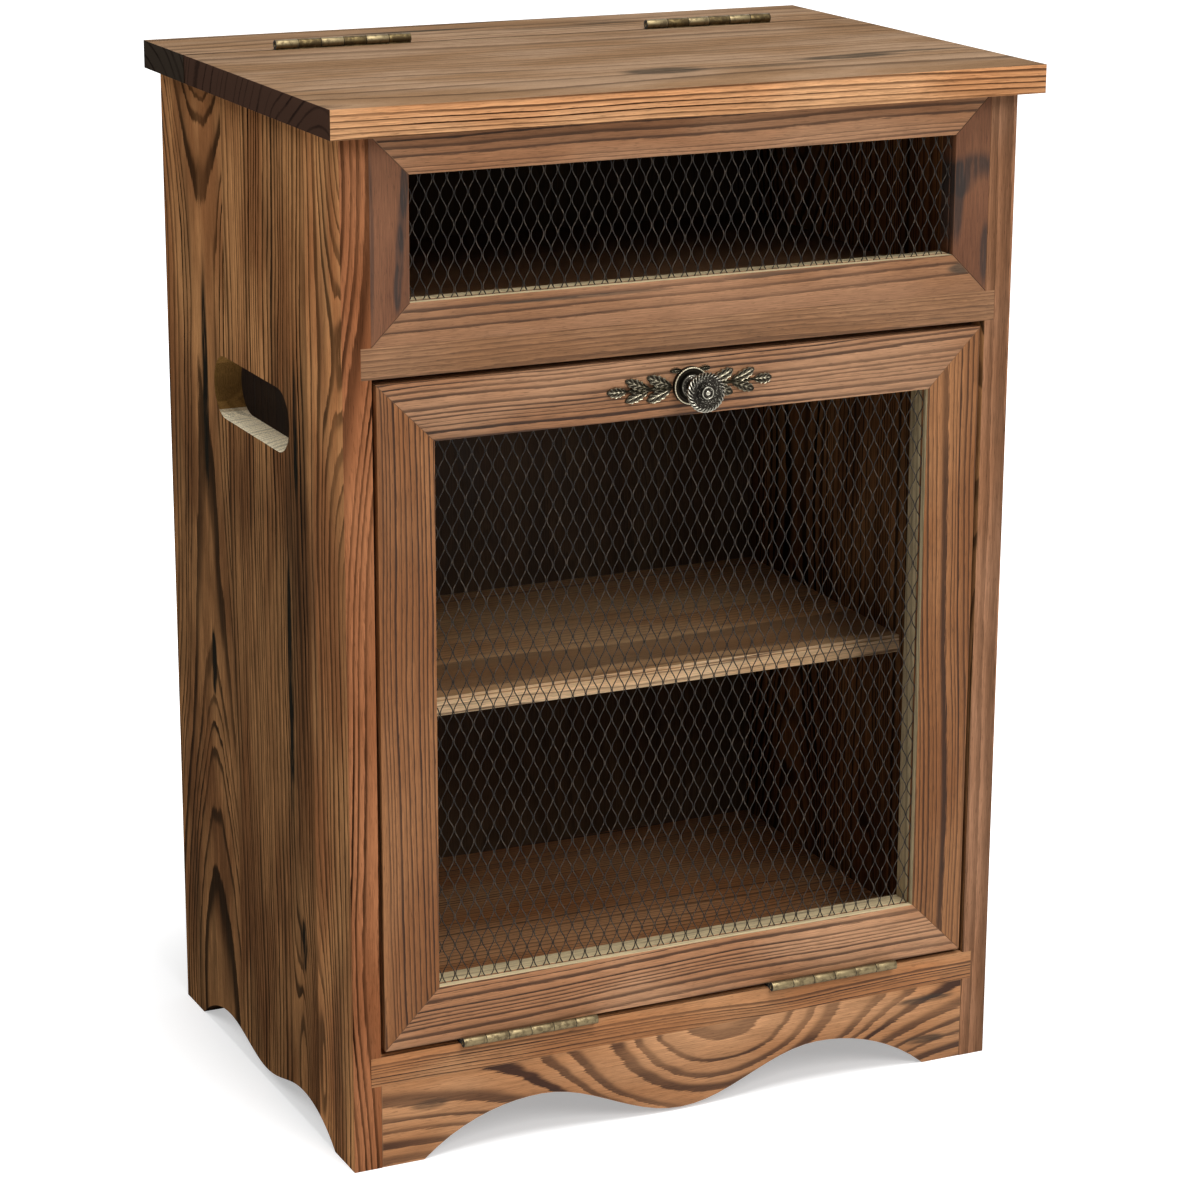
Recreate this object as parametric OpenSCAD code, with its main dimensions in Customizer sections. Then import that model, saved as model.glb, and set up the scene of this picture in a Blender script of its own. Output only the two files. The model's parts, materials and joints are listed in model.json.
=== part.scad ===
// A small standing cabinet of dark, heat-browned softwood for keeping food.
// A hinged lid opens the bin at the top, behind a fixed netted window.
// Below it a netted door, hinged at its foot, tilts out and down in front of two tiers.
// Front faces -Y and +Z is up. X = 0 is the middle and Z = 0 is the ground under the feet.
// Y = 0 is the middle of the whole depth, from the knob's face to the back panel.

/* [Cabinet] */
// Width over the two side panels
body_w = 382; // [370:1:420]
// Depth of the side panels, front to back
body_d = 267; // [255:1:300]
// Height of the side panels
side_h = 545; // [535:1:570]
// Thickness of the side panels and the apron
side_t = 15.5; // [14:0.5:18]
// Thickness of the floor board and the divider
deck_t = 16; // [14:0.5:18]
// Height of the floor board's top face above the ground
floor_z = 62.5; // [58:0.5:75]
// Depth of the grooves that hold the boards in the side panels
dado = 5.5; // [4:0.5:7]
// Thickness of the back panel
back_t = 5; // [3:0.5:6]
// Width of the step in each side panel that takes the back panel
back_step = 6; // [4:0.5:8]

/* [Shelf] */
// Height of the shelf's top face above the floor board
shelf_rise = 164; // [120:1:200]
// Thickness of the shelf
shelf_t = 10; // [8:0.5:14]
// Distance from the front of the cabinet to the shelf's front edge
shelf_setback = 80; // [60:1:120]
// Size of the small step along the shelf's top front edge
shelf_lip = 1.6; // [1:0.2:2.4]

/* [Lid and top strip] */
// Thickness of the lid and the top strip
lid_t = 15; // [14.5:0.5:18]
// Overhang of the lid past each side panel
overhang_side = 9; // [4:0.5:15]
// Overhang of the lid past the front
overhang_front = 13; // [5:0.5:20]
// Depth of the fixed strip behind the lid
strip_d = 66; // [50:1:90]
// Width of the seam between the lid and the strip
lid_seam = 1.6; // [1.2:0.1:2.8]
// Diameter of the dowels that hold the strip on the side panels
dowel_d = 6; // [5:0.5:8]
// Length of each dowel
dowel_l = 24; // [20:1:28]
// Distance of the dowels from the front and back edges of the strip
dowel_inset = 14; // [10:1:20]

/* [Window] */
// Height of the window frame, from the divider up to the lid
window_h = 105.5; // [95:0.5:130]
// Width of the window frame's members
window_rail = 21; // [18:0.5:26]
// Thickness of the window frame
window_t = 14; // [12:0.5:18]

/* [Door] */
// Width of the door frame's members
door_rail = 31; // [28:0.5:36]
// Thickness of the door
door_t = 18; // [17:0.5:22]
// Gap on each side of the door
door_side_gap = 2.5; // [1.5:0.1:3.5]
// Gap over the door
door_top_gap = 3.2; // [2:0.1:5]
// Gap under the door, which holds the hinge leaves
door_foot_gap = 2.8; // [1.8:0.1:2.8]

/* [Net] */
// Depth of the net behind the front of its frame
net_setback = 4.6; // [3:0.2:6]
// Thickness of the net
net_t = 0.8; // [0.6:0.1:1]
// Width of the groove that holds the net
net_groove = 1.2; // [1.2:0.1:1.6]
// Depth of the groove that holds the net
net_groove_d = 5; // [4.5:0.5:7]
// How far the net reaches into its groove
net_tuck = 4; // [2:0.5:4]
// Width of the net's strands
net_strand = 0.9; // [0.7:0.1:1.2]
// Diamonds across the door's net
door_net_cols = 15; // [10:1:15]
// Diamonds up the door's net
door_net_rows = 8; // [5:1:8]
// Diamonds across the window's net
window_net_cols = 34; // [20:1:34]
// Diamonds up the window's net
window_net_rows = 3; // [2:1:3]

/* [Grips] */
// Length of the hand slot in each side panel
slot_l = 115; // [90:1:130]
// Height of the hand slot
slot_h = 34; // [28:1:40]
// Distance from the divider's underside down to the hand slot's middle
slot_drop = 38.5; // [32:0.5:80]

/* [Feet] */
// Width of the feet at the front, with the side panel
front_foot = 39.5; // [30:0.5:50]
// Height of the two arches in the apron
front_arch = 25; // [18:0.5:30]
// Height of the apron's middle lobe above the ground
front_lobe = 1.6; // [1:0.2:8]
// Width of the feet in each side panel
side_foot = 28.5; // [22:0.5:40]
// Height of the two arches in each side panel
side_arch = 16.5; // [12:0.5:24]
// Height of each side panel's middle lobe above the ground
side_lobe = 6.5; // [3:0.5:10]
// Place of each arch's top, as a share of the way from the middle to a foot
arch_place = 0.555; // [0.5:0.01:0.62]

/* [Hinges] */
// Length of each hinge
hinge_l = 78; // [66:1:90]
// Number of knuckles in each hinge
hinge_knuckles = 6; // [4:2:8]
// Outer diameter of the knuckles
knuckle_d = 5; // [4.6:0.1:5.4]
// Diameter of the hinge pins
pin_d = 2.4; // [2:0.1:2.6]
// Width of each leaf, from the pin's axis
leaf_w = 15.5; // [14:0.5:16]
// Thickness of each leaf
leaf_t = 1.2; // [1:0.1:1.3]
// Distance from the cabinet's side to the outer end of each lid hinge
lid_hinge_inset = 42; // [30:1:70]
// Distance from the cabinet's side to the outer end of each door hinge
door_hinge_inset = 60.5; // [40:0.5:80]

/* [Knob] */
// How far the knob stands out from the door
knob_reach = 22; // [18:0.5:28]
// Diameter of the knob's head
knob_d = 20.5; // [18:0.5:24]
// Number of flutes round the knob's rim
knob_flutes = 30; // [18:2:36]
// Length of the leaf plate behind the knob
plate_l = 95; // [86:1:104]
// Diameter of the round boss in the middle of the leaf plate
boss_d = 20; // [17:0.5:24]

/* [Hidden] */
$fn = 48;
eps = 0.01;

// Fits. Boards that are glued together meet face to face.
leaf_gap = 0.4;            // between a closed hinge's two leaves
knuckle_gap = 0.25;        // between neighbouring knuckles
knuckle_clear = 0.3;       // round a knuckle that turns in the other leaf
pin_clear = 0.05;          // round a pin in the knuckles that turn on it
barrel_clear = 0.2;        // between a barrel and the wood behind it
catch_clear = 0.3;         // between the magnet catch and its strike plate

// Width between the side panels, and the front and back of everything
inner_w = body_w - 2 * side_t;
front_y = (knob_reach - body_d) / 2;
deck_d = body_d - back_t;
lid_top = side_h + lid_t;
seam_y = body_d - strip_d - lid_seam / 2;

// The boards' heights above the ground
divider_z = side_h - window_h;
divider_under = divider_z - deck_t;
shelf_z = floor_z + shelf_rise;
slot_z = divider_under - slot_drop;

// The door fills the front between the floor board and the divider
door_w = inner_w - 2 * door_side_gap;
door_z0 = floor_z + door_foot_gap;
door_z1 = divider_under - door_top_gap;
knob_z = door_z1 - door_rail / 2;

// Hinge axes: the barrels stand just clear of the door's front and the lid's top
barrel_stand = knuckle_d / 2 + barrel_clear;
door_axis_y = -barrel_stand;
door_axis_z = floor_z + door_foot_gap / 2;
lid_axis_z = lid_top + barrel_stand;

// Hinge details
lid_hinge_x = body_w / 2 - lid_hinge_inset - hinge_l / 2;
door_hinge_x = body_w / 2 - door_hinge_inset - hinge_l / 2;
knuckle_l = hinge_l / hinge_knuckles;
leaf_screw_y = (leaf_w + barrel_stand) / 2;
leaf_screw_x = hinge_l / 2 - 10;
leaf_reach = leaf_gap / 2 + leaf_t;
screw_d = 2.6;
screw_head_d = 4.8;
screw_l = 11;

// Magnet catch under the divider, and its strike plate on the door
catch_size = [46, 14, 12];
catch_lug = [7, 14, 2];
magnet_size = [26, 12, 5];
strike_size = [34, 1.2, 9];
strike_drop = 1;
catch_y = door_t + strike_size[1] + catch_clear;
strike_screw_x = 11;

// Knob details
knob_bore_d = 4;
knob_bore_l = 9;
plate_t = 2;
leaf_l = 14.5;

// Brads that hold the back panel
brad_d = 1.4;
brad_head_d = 3;
brad_head_t = 0.8;
brad_l = 18;

wood_pale = "#a9794f";
wood_mid = "#8a5a38";
wood_dark = "#5d3d29";
ply = "#b79b72";
brass = "#8f8256";
bronze = "#4b463a";
wire = "#2b241f";
steel = "#a3a39c";
plastic = "#4a3426";

// ---- Places ------------------------------------------------------------------------------

// Moves what is drawn from the front face of the cabinet to its place in the whole
module placed() {
    translate([0, front_y, 0]) children();
}

// Draws its children once on each side of the middle
module both_sides() {
    children();
    mirror([1, 0, 0]) children();
}

// Hinge frame of one door hinge: X along the pin, Y into the cabinet, Z up
module at_door_hinge(side) {
    translate([side * door_hinge_x, door_axis_y, door_axis_z]) children();
}

// Hinge frame of one lid hinge: X along the pin, Y down into the seam, Z towards the back
module at_lid_hinge(side) {
    translate([side * lid_hinge_x, seam_y, lid_axis_z]) rotate([-90, 0, 0]) children();
}

// ---- Shaped lower edges ------------------------------------------------------------------

// Height of a scalloped edge at u from its middle. It is round from the foot up to the top
// of the arch, and runs down to the middle lobe in half a cosine wave.
function arch_z(u, half, rise, lobe) =
    let (top = arch_place * half, run = half - top, r = (run * run + rise * rise) / (2 * rise))
    abs(u) > top ? rise - r + sqrt(max(0, r * r - pow(abs(u) - top, 2)))
                 : lobe + (rise - lobe) * (1 - cos(180 * abs(u) / top)) / 2;

// The points of that edge from foot to foot, left to right, about mid
function arch_points(mid, half, rise, lobe, steps = 40) =
    [for (i = [0 : steps]) let (u = half * (2 * i / steps - 1))
        [mid + u, i == 0 || i == steps ? 0 : arch_z(u, half, rise, lobe)]];

// ---- Boards of the cabinet ---------------------------------------------------------------

// Round-ended hand slot, along local X and Y
module slot_outline() {
    square([slot_l - slot_h, slot_h], center = true);
    for (s = [-1, 1]) translate([s * (slot_l - slot_h) / 2, 0]) circle(d = slot_h);
}

// Outline of a side panel in depth and height
module side_outline() {
    difference() {
        polygon(concat([[0, side_h], [0, 0]],
            arch_points(body_d / 2, body_d / 2 - side_foot, side_arch, side_lobe),
            [[body_d, 0], [body_d, side_h]]));
        translate([body_d / 2, slot_z]) slot_outline();
    }
}

// Groove in the left side panel for one board, from y0 to the back
module side_groove(top_z, thick, y0) {
    translate([-inner_w / 2 - dado, y0 - eps, top_z - thick])
        cube([dado + eps, body_d - y0 + 2 * eps, thick]);
}

// Places of the dowels on the left, in width and depth
dowel_x = inner_w / 2 + side_t / 2;
dowel_ys = [body_d - strip_d + dowel_inset, body_d - dowel_inset];

// Three fifths of each dowel are in the side panel and the rest is in the strip
module strip_dowel_set() {
    both_sides()
        for (y = dowel_ys) translate([dowel_x, y, side_h - dowel_l * 0.6])
            cylinder(d = dowel_d, h = dowel_l);
}

module side_panel() {
    difference() {
        translate([-body_w / 2, 0, 0]) rotate([90, 0, 90]) linear_extrude(side_t)
            side_outline();
        side_groove(floor_z, deck_t, 0);
        side_groove(divider_z, deck_t, 0);
        side_groove(shelf_z, shelf_t, shelf_setback);
        translate([-inner_w / 2 - back_step, deck_d, floor_z - deck_t])
            cube([back_step + eps, back_t + eps, side_h]);
        strip_dowel_set();
        back_brad_set();
    }
}

module side_left() {
    color(wood_dark) placed() side_panel();
}

module side_right() {
    color(wood_dark) placed() mirror([1, 0, 0]) side_panel();
}

// Brads through the back panel: two into the side panels at each tier and one at the top
// bin, clear of the boards' ends, and two into the floor board and the divider
function thirds(low, high) = [low + (high - low) / 3, high - (high - low) / 3];
brad_side_zs = concat(thirds(floor_z, shelf_z - shelf_t), thirds(shelf_z, divider_under),
    [divider_z + window_h / 2]);
brad_deck_xs = [-inner_w / 4, inner_w / 4];

module back_brad() {
    rotate([90, 0, 0]) {
        cylinder(d = brad_head_d, h = brad_head_t);
        cylinder(d = brad_d, h = brad_l);
    }
}

module back_brad_set() {
    both_sides()
        for (z = brad_side_zs) translate([inner_w / 2 + back_step / 2, body_d, z]) back_brad();
    for (x = brad_deck_xs, z = [floor_z, divider_z])
        translate([x, body_d, z - deck_t / 2]) back_brad();
}

module back_panel() {
    color(ply) placed() difference() {
        translate([-inner_w / 2 - back_step, deck_d, floor_z - deck_t])
            cube([inner_w + 2 * back_step, back_t, side_h - floor_z + deck_t]);
        back_brad_set();
    }
}

module back_brads() {
    color(steel) placed() back_brad_set();
}

// A board held in the grooves of both side panels
module grooved_board(top_z, thick, y0) {
    translate([-inner_w / 2 - dado, y0, top_z - thick])
        cube([inner_w + 2 * dado, deck_d - y0, thick]);
}

module floor_board() {
    color(wood_mid) placed() difference() {
        grooved_board(floor_z, deck_t, 0);
        back_brad_set();
        leaf_cuts("floor");
    }
}

module divider_board() {
    color(wood_mid) placed() difference() {
        grooved_board(divider_z, deck_t, 0);
        back_brad_set();
        catch_screw_set();
    }
}

module shelf_board() {
    color(wood_pale) placed() difference() {
        grooved_board(shelf_z, shelf_t, shelf_setback);
        translate([-body_w / 2, shelf_setback - eps, shelf_z - shelf_lip])
            cube([body_w, shelf_lip + eps, shelf_lip + eps]);
    }
}

module apron_front() {
    color(wood_mid) placed() translate([0, side_t, 0]) rotate([90, 0, 0])
        linear_extrude(side_t) polygon(concat(
            [[-inner_w / 2, floor_z - deck_t], [-inner_w / 2, 0]],
            arch_points(0, body_w / 2 - front_foot, front_arch, front_lobe),
            [[inner_w / 2, 0], [inner_w / 2, floor_z - deck_t]]));
}

// ---- Lid and the strip behind it ---------------------------------------------------------

module top_board(y0, y1) {
    translate([-body_w / 2 - overhang_side, y0, side_h])
        cube([body_w + 2 * overhang_side, y1 - y0, lid_t]);
}

module top_strip() {
    color(wood_mid) placed() difference() {
        top_board(seam_y + lid_seam / 2, body_d);
        strip_dowel_set();
        leaf_cuts("strip");
    }
}

module strip_dowels() {
    color(wood_pale) placed() strip_dowel_set();
}

module lid_board() {
    color(wood_mid) placed() difference() {
        top_board(-overhang_front, seam_y - lid_seam / 2);
        leaf_cuts("lid");
    }
}

// ---- Mitred and grooved frames -----------------------------------------------------------

// One frame member along +X: its outer edge is at Z = 0 and its front at Y = 0
module frame_member(length, width, thick) {
    difference() {
        translate([0, thick, 0]) rotate([90, 0, 0]) linear_extrude(thick)
            polygon([[0, 0], [length, 0], [length - width, width], [width, width]]);
        translate([0, net_setback, width - net_groove_d])
            cube([length, net_groove, net_groove_d + eps]);
    }
}

// One of the four members of a frame that stands on z0 about the middle
module frame_side(which, w, h, z0, width, thick) {
    translate([0, 0, z0]) {
        if (which == "bottom") translate([-w / 2, 0, 0]) frame_member(w, width, thick);
        if (which == "top") translate([-w / 2, 0, h]) mirror([0, 0, 1])
            frame_member(w, width, thick);
        if (which == "left") translate([-w / 2, 0, 0]) mirror([1, 0, 0])
            rotate([0, -90, 0]) frame_member(h, width, thick);
        if (which == "right") translate([w / 2, 0, 0]) rotate([0, -90, 0])
            frame_member(h, width, thick);
    }
}

module window_side(which) {
    color(wood_pale) placed()
        frame_side(which, inner_w, window_h, divider_z, window_rail, window_t);
}

module window_rail_top() { window_side("top"); }
module window_rail_bottom() { window_side("bottom"); }
module window_stile_left() { window_side("left"); }
module window_stile_right() { window_side("right"); }

module door_side(which) {
    frame_side(which, door_w, door_z1 - door_z0, door_z0, door_rail, door_t);
}

module door_rail_top() {
    color(wood_pale) placed() difference() {
        door_side("top");
        translate([0, -eps, knob_z]) rotate([-90, 0, 0])
            cylinder(d = knob_bore_d, h = door_t + 2 * eps);
        strike_screw_set();
    }
}

module door_rail_bottom() {
    color(wood_pale) placed() difference() {
        door_side("bottom");
        leaf_cuts("door");
    }
}

module door_stile_left() {
    color(wood_pale) placed() door_side("left");
}

module door_stile_right() {
    color(wood_pale) placed() door_side("right");
}

// ---- Expanded metal net ------------------------------------------------------------------

// A diamond gap with half diagonals a and b, drawn in by half a strand on all four edges
module diamond(a, b) {
    k = 1 - net_strand / 2 * sqrt(a * a + b * b) / (a * b);
    polygon([[-a * k, 0], [0, -b * k], [a * k, 0], [0, b * k]]);
}

// A flat net over an opening of w by h whose lower edge is at z0
module net(w, h, z0, cols, rows) {
    a = w / cols / 2;
    b = h / rows / 2;
    translate([0, net_setback + (net_groove + net_t) / 2, z0]) rotate([90, 0, 0])
        linear_extrude(net_t) difference() {
            translate([-w / 2 - net_tuck, -net_tuck])
                square([w + 2 * net_tuck, h + 2 * net_tuck]);
            intersection() {
                translate([-w / 2, 0]) square([w, h]);
                for (i = [0 : 2 * cols], j = [0 : 2 * rows])
                    if ((i + j) % 2 == 0) translate([i * a - w / 2, j * b]) diamond(a, b);
            }
        }
}

module window_net() {
    color(wire) placed() net(inner_w - 2 * window_rail, window_h - 2 * window_rail,
        divider_z + window_rail, window_net_cols, window_net_rows);
}

module door_net() {
    color(wire) placed() net(door_w - 2 * door_rail, door_z1 - door_z0 - 2 * door_rail,
        door_z0 + door_rail, door_net_cols, door_net_rows);
}

// ---- Butt hinges -------------------------------------------------------------------------

// A countersunk screw that points along -Z from its flat head at Z = 0
module csk_screw(head_h, length) {
    difference() {
        union() {
            translate([0, 0, -head_h]) cylinder(d1 = screw_d, d2 = screw_head_d, h = head_h);
            translate([0, 0, 2 - length]) cylinder(d = screw_d, h = length - 2);
            translate([0, 0, -length]) cylinder(d1 = 0.4, d2 = screw_d, h = 2);
        }
        for (a = [0, 90]) rotate(a) translate([-1.1, -0.25, -0.6]) cube([2.2, 0.5, 1]);
    }
}

// The solid that a screw fills, without the cross in its head
module csk_hole(head_h, length) {
    translate([0, 0, -head_h]) cylinder(d1 = screw_d, d2 = screw_head_d, h = head_h);
    translate([0, 0, 2 - length]) cylinder(d = screw_d, h = length - 2);
    translate([0, 0, -length]) cylinder(d1 = 0.4, d2 = screw_d, h = 2);
}

// Puts its children at the three screw places of a leaf. The leaf lies on the side of the
// pin that level names, +1 above it and -1 below it, and the screws point away from it.
module leaf_screw_places(level) {
    for (x = [-leaf_screw_x, 0, leaf_screw_x]) translate([x, leaf_screw_y, level * leaf_gap / 2])
        mirror([0, 0, level > 0 ? 1 : 0]) children();
}

// One leaf with its knuckles. It takes the even knuckles or the odd ones, and its bores
// hold the pin fast or turn on it.
module hinge_leaf(level, odd, clear) {
    difference() {
        union() {
            translate([-hinge_l / 2, 0, level > 0 ? leaf_gap / 2 : -leaf_reach])
                cube([hinge_l, leaf_w, leaf_t]);
            for (i = [0 : hinge_knuckles - 1]) if (i % 2 == odd)
                translate([i * knuckle_l - hinge_l / 2 + knuckle_gap / 2, 0, 0])
                    rotate([0, 90, 0]) cylinder(d = knuckle_d, h = knuckle_l - knuckle_gap);
        }
        for (i = [0 : hinge_knuckles - 1]) if (i % 2 != odd)
            translate([i * knuckle_l - hinge_l / 2 - knuckle_gap / 2, 0, 0])
                rotate([0, 90, 0]) cylinder(d = knuckle_d + 2 * knuckle_clear,
                    h = knuckle_l + knuckle_gap);
        translate([-hinge_l / 2 - 1, 0, 0]) rotate([0, 90, 0])
            cylinder(d = pin_d + 2 * clear, h = hinge_l + 2);
        leaf_screw_places(level) csk_hole(leaf_t, screw_l);
    }
}

module hinge_pin() {
    translate([-hinge_l / 2 + 0.6, 0, 0]) rotate([0, 90, 0])
        cylinder(d = pin_d, h = hinge_l - 1.2);
}

module leaf_screws(level) {
    leaf_screw_places(level) csk_screw(leaf_t, screw_l);
}

// What a leaf and its screws take out of the board behind it
module leaf_bed(level, depth) {
    leaf_screw_places(level) csk_hole(leaf_t, screw_l);
    if (depth > eps)
        translate([-hinge_l / 2, 0, level > 0 ? leaf_gap / 2 : -leaf_reach])
            cube([hinge_l, leaf_w, leaf_t]);
}

// The beds of both leaves in one board
module leaf_cuts(board) {
    for (side = [-1, 1]) {
        if (board == "floor") at_door_hinge(side) leaf_bed(-1, leaf_reach - door_foot_gap / 2);
        if (board == "door") at_door_hinge(side) leaf_bed(1, leaf_reach - door_foot_gap / 2);
        if (board == "strip") at_lid_hinge(side) leaf_bed(1, leaf_reach - lid_seam / 2);
        if (board == "lid") at_lid_hinge(side) leaf_bed(-1, leaf_reach - lid_seam / 2);
    }
}

module floor_leaf_left() { color(brass) placed() at_door_hinge(-1) hinge_leaf(-1, 0, 0); }
module floor_leaf_right() { color(brass) placed() at_door_hinge(1) hinge_leaf(-1, 0, 0); }
module door_leaf_left() { color(brass) placed() at_door_hinge(-1) hinge_leaf(1, 1, pin_clear); }
module door_leaf_right() { color(brass) placed() at_door_hinge(1) hinge_leaf(1, 1, pin_clear); }
module strip_leaf_left() { color(brass) placed() at_lid_hinge(-1) hinge_leaf(1, 0, 0); }
module strip_leaf_right() { color(brass) placed() at_lid_hinge(1) hinge_leaf(1, 0, 0); }
module lid_leaf_left() { color(brass) placed() at_lid_hinge(-1) hinge_leaf(-1, 1, pin_clear); }
module lid_leaf_right() { color(brass) placed() at_lid_hinge(1) hinge_leaf(-1, 1, pin_clear); }

module door_pin_left() { color(brass) placed() at_door_hinge(-1) hinge_pin(); }
module door_pin_right() { color(brass) placed() at_door_hinge(1) hinge_pin(); }
module lid_pin_left() { color(brass) placed() at_lid_hinge(-1) hinge_pin(); }
module lid_pin_right() { color(brass) placed() at_lid_hinge(1) hinge_pin(); }

module floor_leaf_screws() {
    color(brass) placed() for (side = [-1, 1]) at_door_hinge(side) leaf_screws(-1);
}

module door_leaf_screws() {
    color(brass) placed() for (side = [-1, 1]) at_door_hinge(side) leaf_screws(1);
}

module strip_leaf_screws() {
    color(brass) placed() for (side = [-1, 1]) at_lid_hinge(side) leaf_screws(1);
}

module lid_leaf_screws() {
    color(brass) placed() for (side = [-1, 1]) at_lid_hinge(side) leaf_screws(-1);
}

// ---- Magnet catch ------------------------------------------------------------------------

// Screws up through the two lugs of the catch into the divider
module catch_screw_set() {
    for (s = [-1, 1])
        translate([s * (catch_size[0] - catch_lug[0]) / 2, catch_y + catch_size[1] / 2,
            divider_under - catch_lug[2]])
            mirror([0, 0, 1]) csk_hole(1.2, screw_l);
}

module catch_case() {
    mid_w = catch_size[0] - 2 * catch_lug[0];
    color(plastic) placed() difference() {
        union() {
            translate([-catch_size[0] / 2, catch_y, divider_under - catch_lug[2]])
                cube([catch_size[0], catch_lug[1], catch_lug[2]]);
            translate([-mid_w / 2, catch_y, divider_under - catch_size[2]])
                cube([mid_w, catch_size[1], catch_size[2]]);
        }
        magnet_block();
        catch_screw_set();
    }
}

// The magnet between its steel blades, let into the front of the case
module magnet_block() {
    translate([-magnet_size[0] / 2, catch_y, divider_under - catch_lug[2] / 2
        - (catch_size[2] + magnet_size[2]) / 2]) cube(magnet_size);
}

module catch_magnet() {
    color(steel) placed() magnet_block();
}

module catch_screws() {
    color(steel) placed() for (s = [-1, 1])
        translate([s * (catch_size[0] - catch_lug[0]) / 2, catch_y + catch_size[1] / 2,
            divider_under - catch_lug[2]])
            mirror([0, 0, 1]) csk_screw(1.2, screw_l);
}

// Screws through the strike plate into the back of the door's top rail
module strike_screw_places() {
    for (s = [-1, 1])
        translate([s * strike_screw_x, door_t + strike_size[1],
            door_z1 - strike_drop - strike_size[2] / 2]) rotate([-90, 0, 0]) children();
}

module strike_screw_set() {
    strike_screw_places() csk_hole(strike_size[1], screw_l);
}

module strike_plate() {
    color(steel) placed() difference() {
        translate([-strike_size[0] / 2, door_t, door_z1 - strike_drop - strike_size[2]])
            cube(strike_size);
        strike_screw_set();
    }
}

module strike_screws() {
    color(steel) placed() strike_screw_places() csk_screw(strike_size[1], screw_l);
}

// ---- Knob and its leaf plate -------------------------------------------------------------

// Turns a shape drawn up +Z so that it stands out from the door's front at the knob
module at_knob() {
    translate([0, 0, knob_z]) rotate([90, 0, 0]) children();
}

// A leaf: the lens shared by two circles, from its root at the origin along +X
module leaf_outline(length, width) {
    r = (length * length + width * width) / (4 * width);
    intersection() {
        translate([length / 2, r - width / 2]) circle(r, $fn = 96);
        translate([length / 2, width / 2 - r]) circle(r, $fn = 96);
    }
}

// Half of the plate: a stem with two pairs of leaves and one at the tip
module leaf_spray() {
    tip = plate_l / 2;
    translate([boss_d / 4, -0.9]) square([tip - leaf_l - boss_d / 4 + 2, 1.8]);
    translate([tip - leaf_l, 0]) leaf_outline(leaf_l, 5.6);
    for (s = [-1, 1]) {
        translate([tip - leaf_l - 9, s * 0.5]) rotate(s * 24) leaf_outline(leaf_l, 6);
        translate([tip - leaf_l - 20, s * 0.5]) rotate(s * 30) leaf_outline(leaf_l, 6);
    }
}

module knob_plate() {
    color(bronze) placed() at_knob() difference() {
        union() {
            linear_extrude(plate_t) {
                leaf_spray();
                mirror([1, 0, 0]) leaf_spray();
            }
            cylinder(d = boss_d, h = plate_t + 0.4);
            rotate_extrude() translate([boss_d / 2 - 1.4, plate_t + 0.4]) circle(0.9);
        }
        translate([0, 0, -eps]) cylinder(d = knob_bore_d, h = plate_t + 2);
    }
}

// The knob turns on a lathe: a foot, a narrow neck, and a wide dished head with a ringed
// button in its middle
module knob_profile() {
    z0 = plate_t + 0.4;
    rim_z = knob_reach - 2.2;
    r = knob_d / 2;
    polygon([
        [0, z0], [6, z0], [6, z0 + 1.2], [4.4, z0 + 2.6], [3.9, z0 + 5],
        [4.3, rim_z - 6.6], [6, rim_z - 4.6], [r - 0.9, rim_z - 2.6], [r, rim_z - 1.2],
        [r - 0.3, rim_z], [r - 1.4, rim_z + 0.6], [r - 4.4, rim_z + 0.3],
        [3.9, rim_z - 0.2], [3.7, rim_z + 1.4], [3.1, rim_z + 1.7], [2.6, rim_z + 1.2],
        [1.9, rim_z + 1.2], [1.2, knob_reach - 0.2], [0, knob_reach]
    ]);
}

// A flute is a thin rod that lies slanting across the rim
module knob_flute() {
    r = knob_d / 2;
    translate([r - 2.2, 0, knob_reach - 1.3]) rotate([0, 0, 28]) rotate([0, 100, 0])
        translate([0, 0, -1.2]) cylinder(d = 1.1, h = 6, $fn = 16);
}

module door_knob() {
    color(bronze) placed() at_knob() difference() {
        rotate_extrude($fn = 64) knob_profile();
        for (i = [0 : knob_flutes - 1]) rotate(i * 360 / knob_flutes) knob_flute();
        translate([0, 0, plate_t]) cylinder(d = knob_bore_d, h = knob_bore_l + 0.4);
    }
}

// Round-headed machine screw from behind the door, through the plate and into the knob
module knob_screw() {
    head_h = 2.4;
    color(steel) placed() at_knob() difference() {
        union() {
            translate([0, 0, -door_t - head_h]) cylinder(d = 8, h = head_h);
            translate([0, 0, -door_t])
                cylinder(d = knob_bore_d, h = door_t + plate_t + knob_bore_l - 1);
        }
        for (a = [0, 90]) rotate(a) translate([-2, -0.5, -door_t - head_h - 1])
            cube([4, 1, 2.2]);
    }
}

// ---- The assembly ------------------------------------------------------------------------

side_left();
side_right();
back_panel();
floor_board();
divider_board();
shelf_board();
apron_front();
top_strip();
strip_dowels();
back_brads();
window_rail_top();
window_rail_bottom();
window_stile_left();
window_stile_right();
window_net();
catch_case();
catch_magnet();
catch_screws();
strip_leaf_left();
strip_leaf_right();
strip_leaf_screws();
lid_pin_left();
lid_pin_right();
floor_leaf_left();
floor_leaf_right();
floor_leaf_screws();
door_pin_left();
door_pin_right();
lid_board();
lid_leaf_left();
lid_leaf_right();
lid_leaf_screws();
door_rail_top();
door_rail_bottom();
door_stile_left();
door_stile_right();
door_net();
door_leaf_left();
door_leaf_right();
door_leaf_screws();
door_knob();
knob_plate();
knob_screw();
strike_plate();
strike_screws();
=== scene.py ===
# %% [markdown]
# # A tilt-out vegetable bin cabinet
# The object is a small standing cabinet of scorched softwood. It has a lid over a top bin,
# a netted window, a netted door that tilts out at its foot, and brass butt hinges.
# Its solids come from CAD and stay where they are. This lesson gives them their finish:
# boards with real growth rings, wire nets, worn brass and a cast knob.

# %% Load the cabinet's solids
import json
import math

import bmesh
import bpy
import numpy as np
from mathutils import Matrix, Vector

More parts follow.
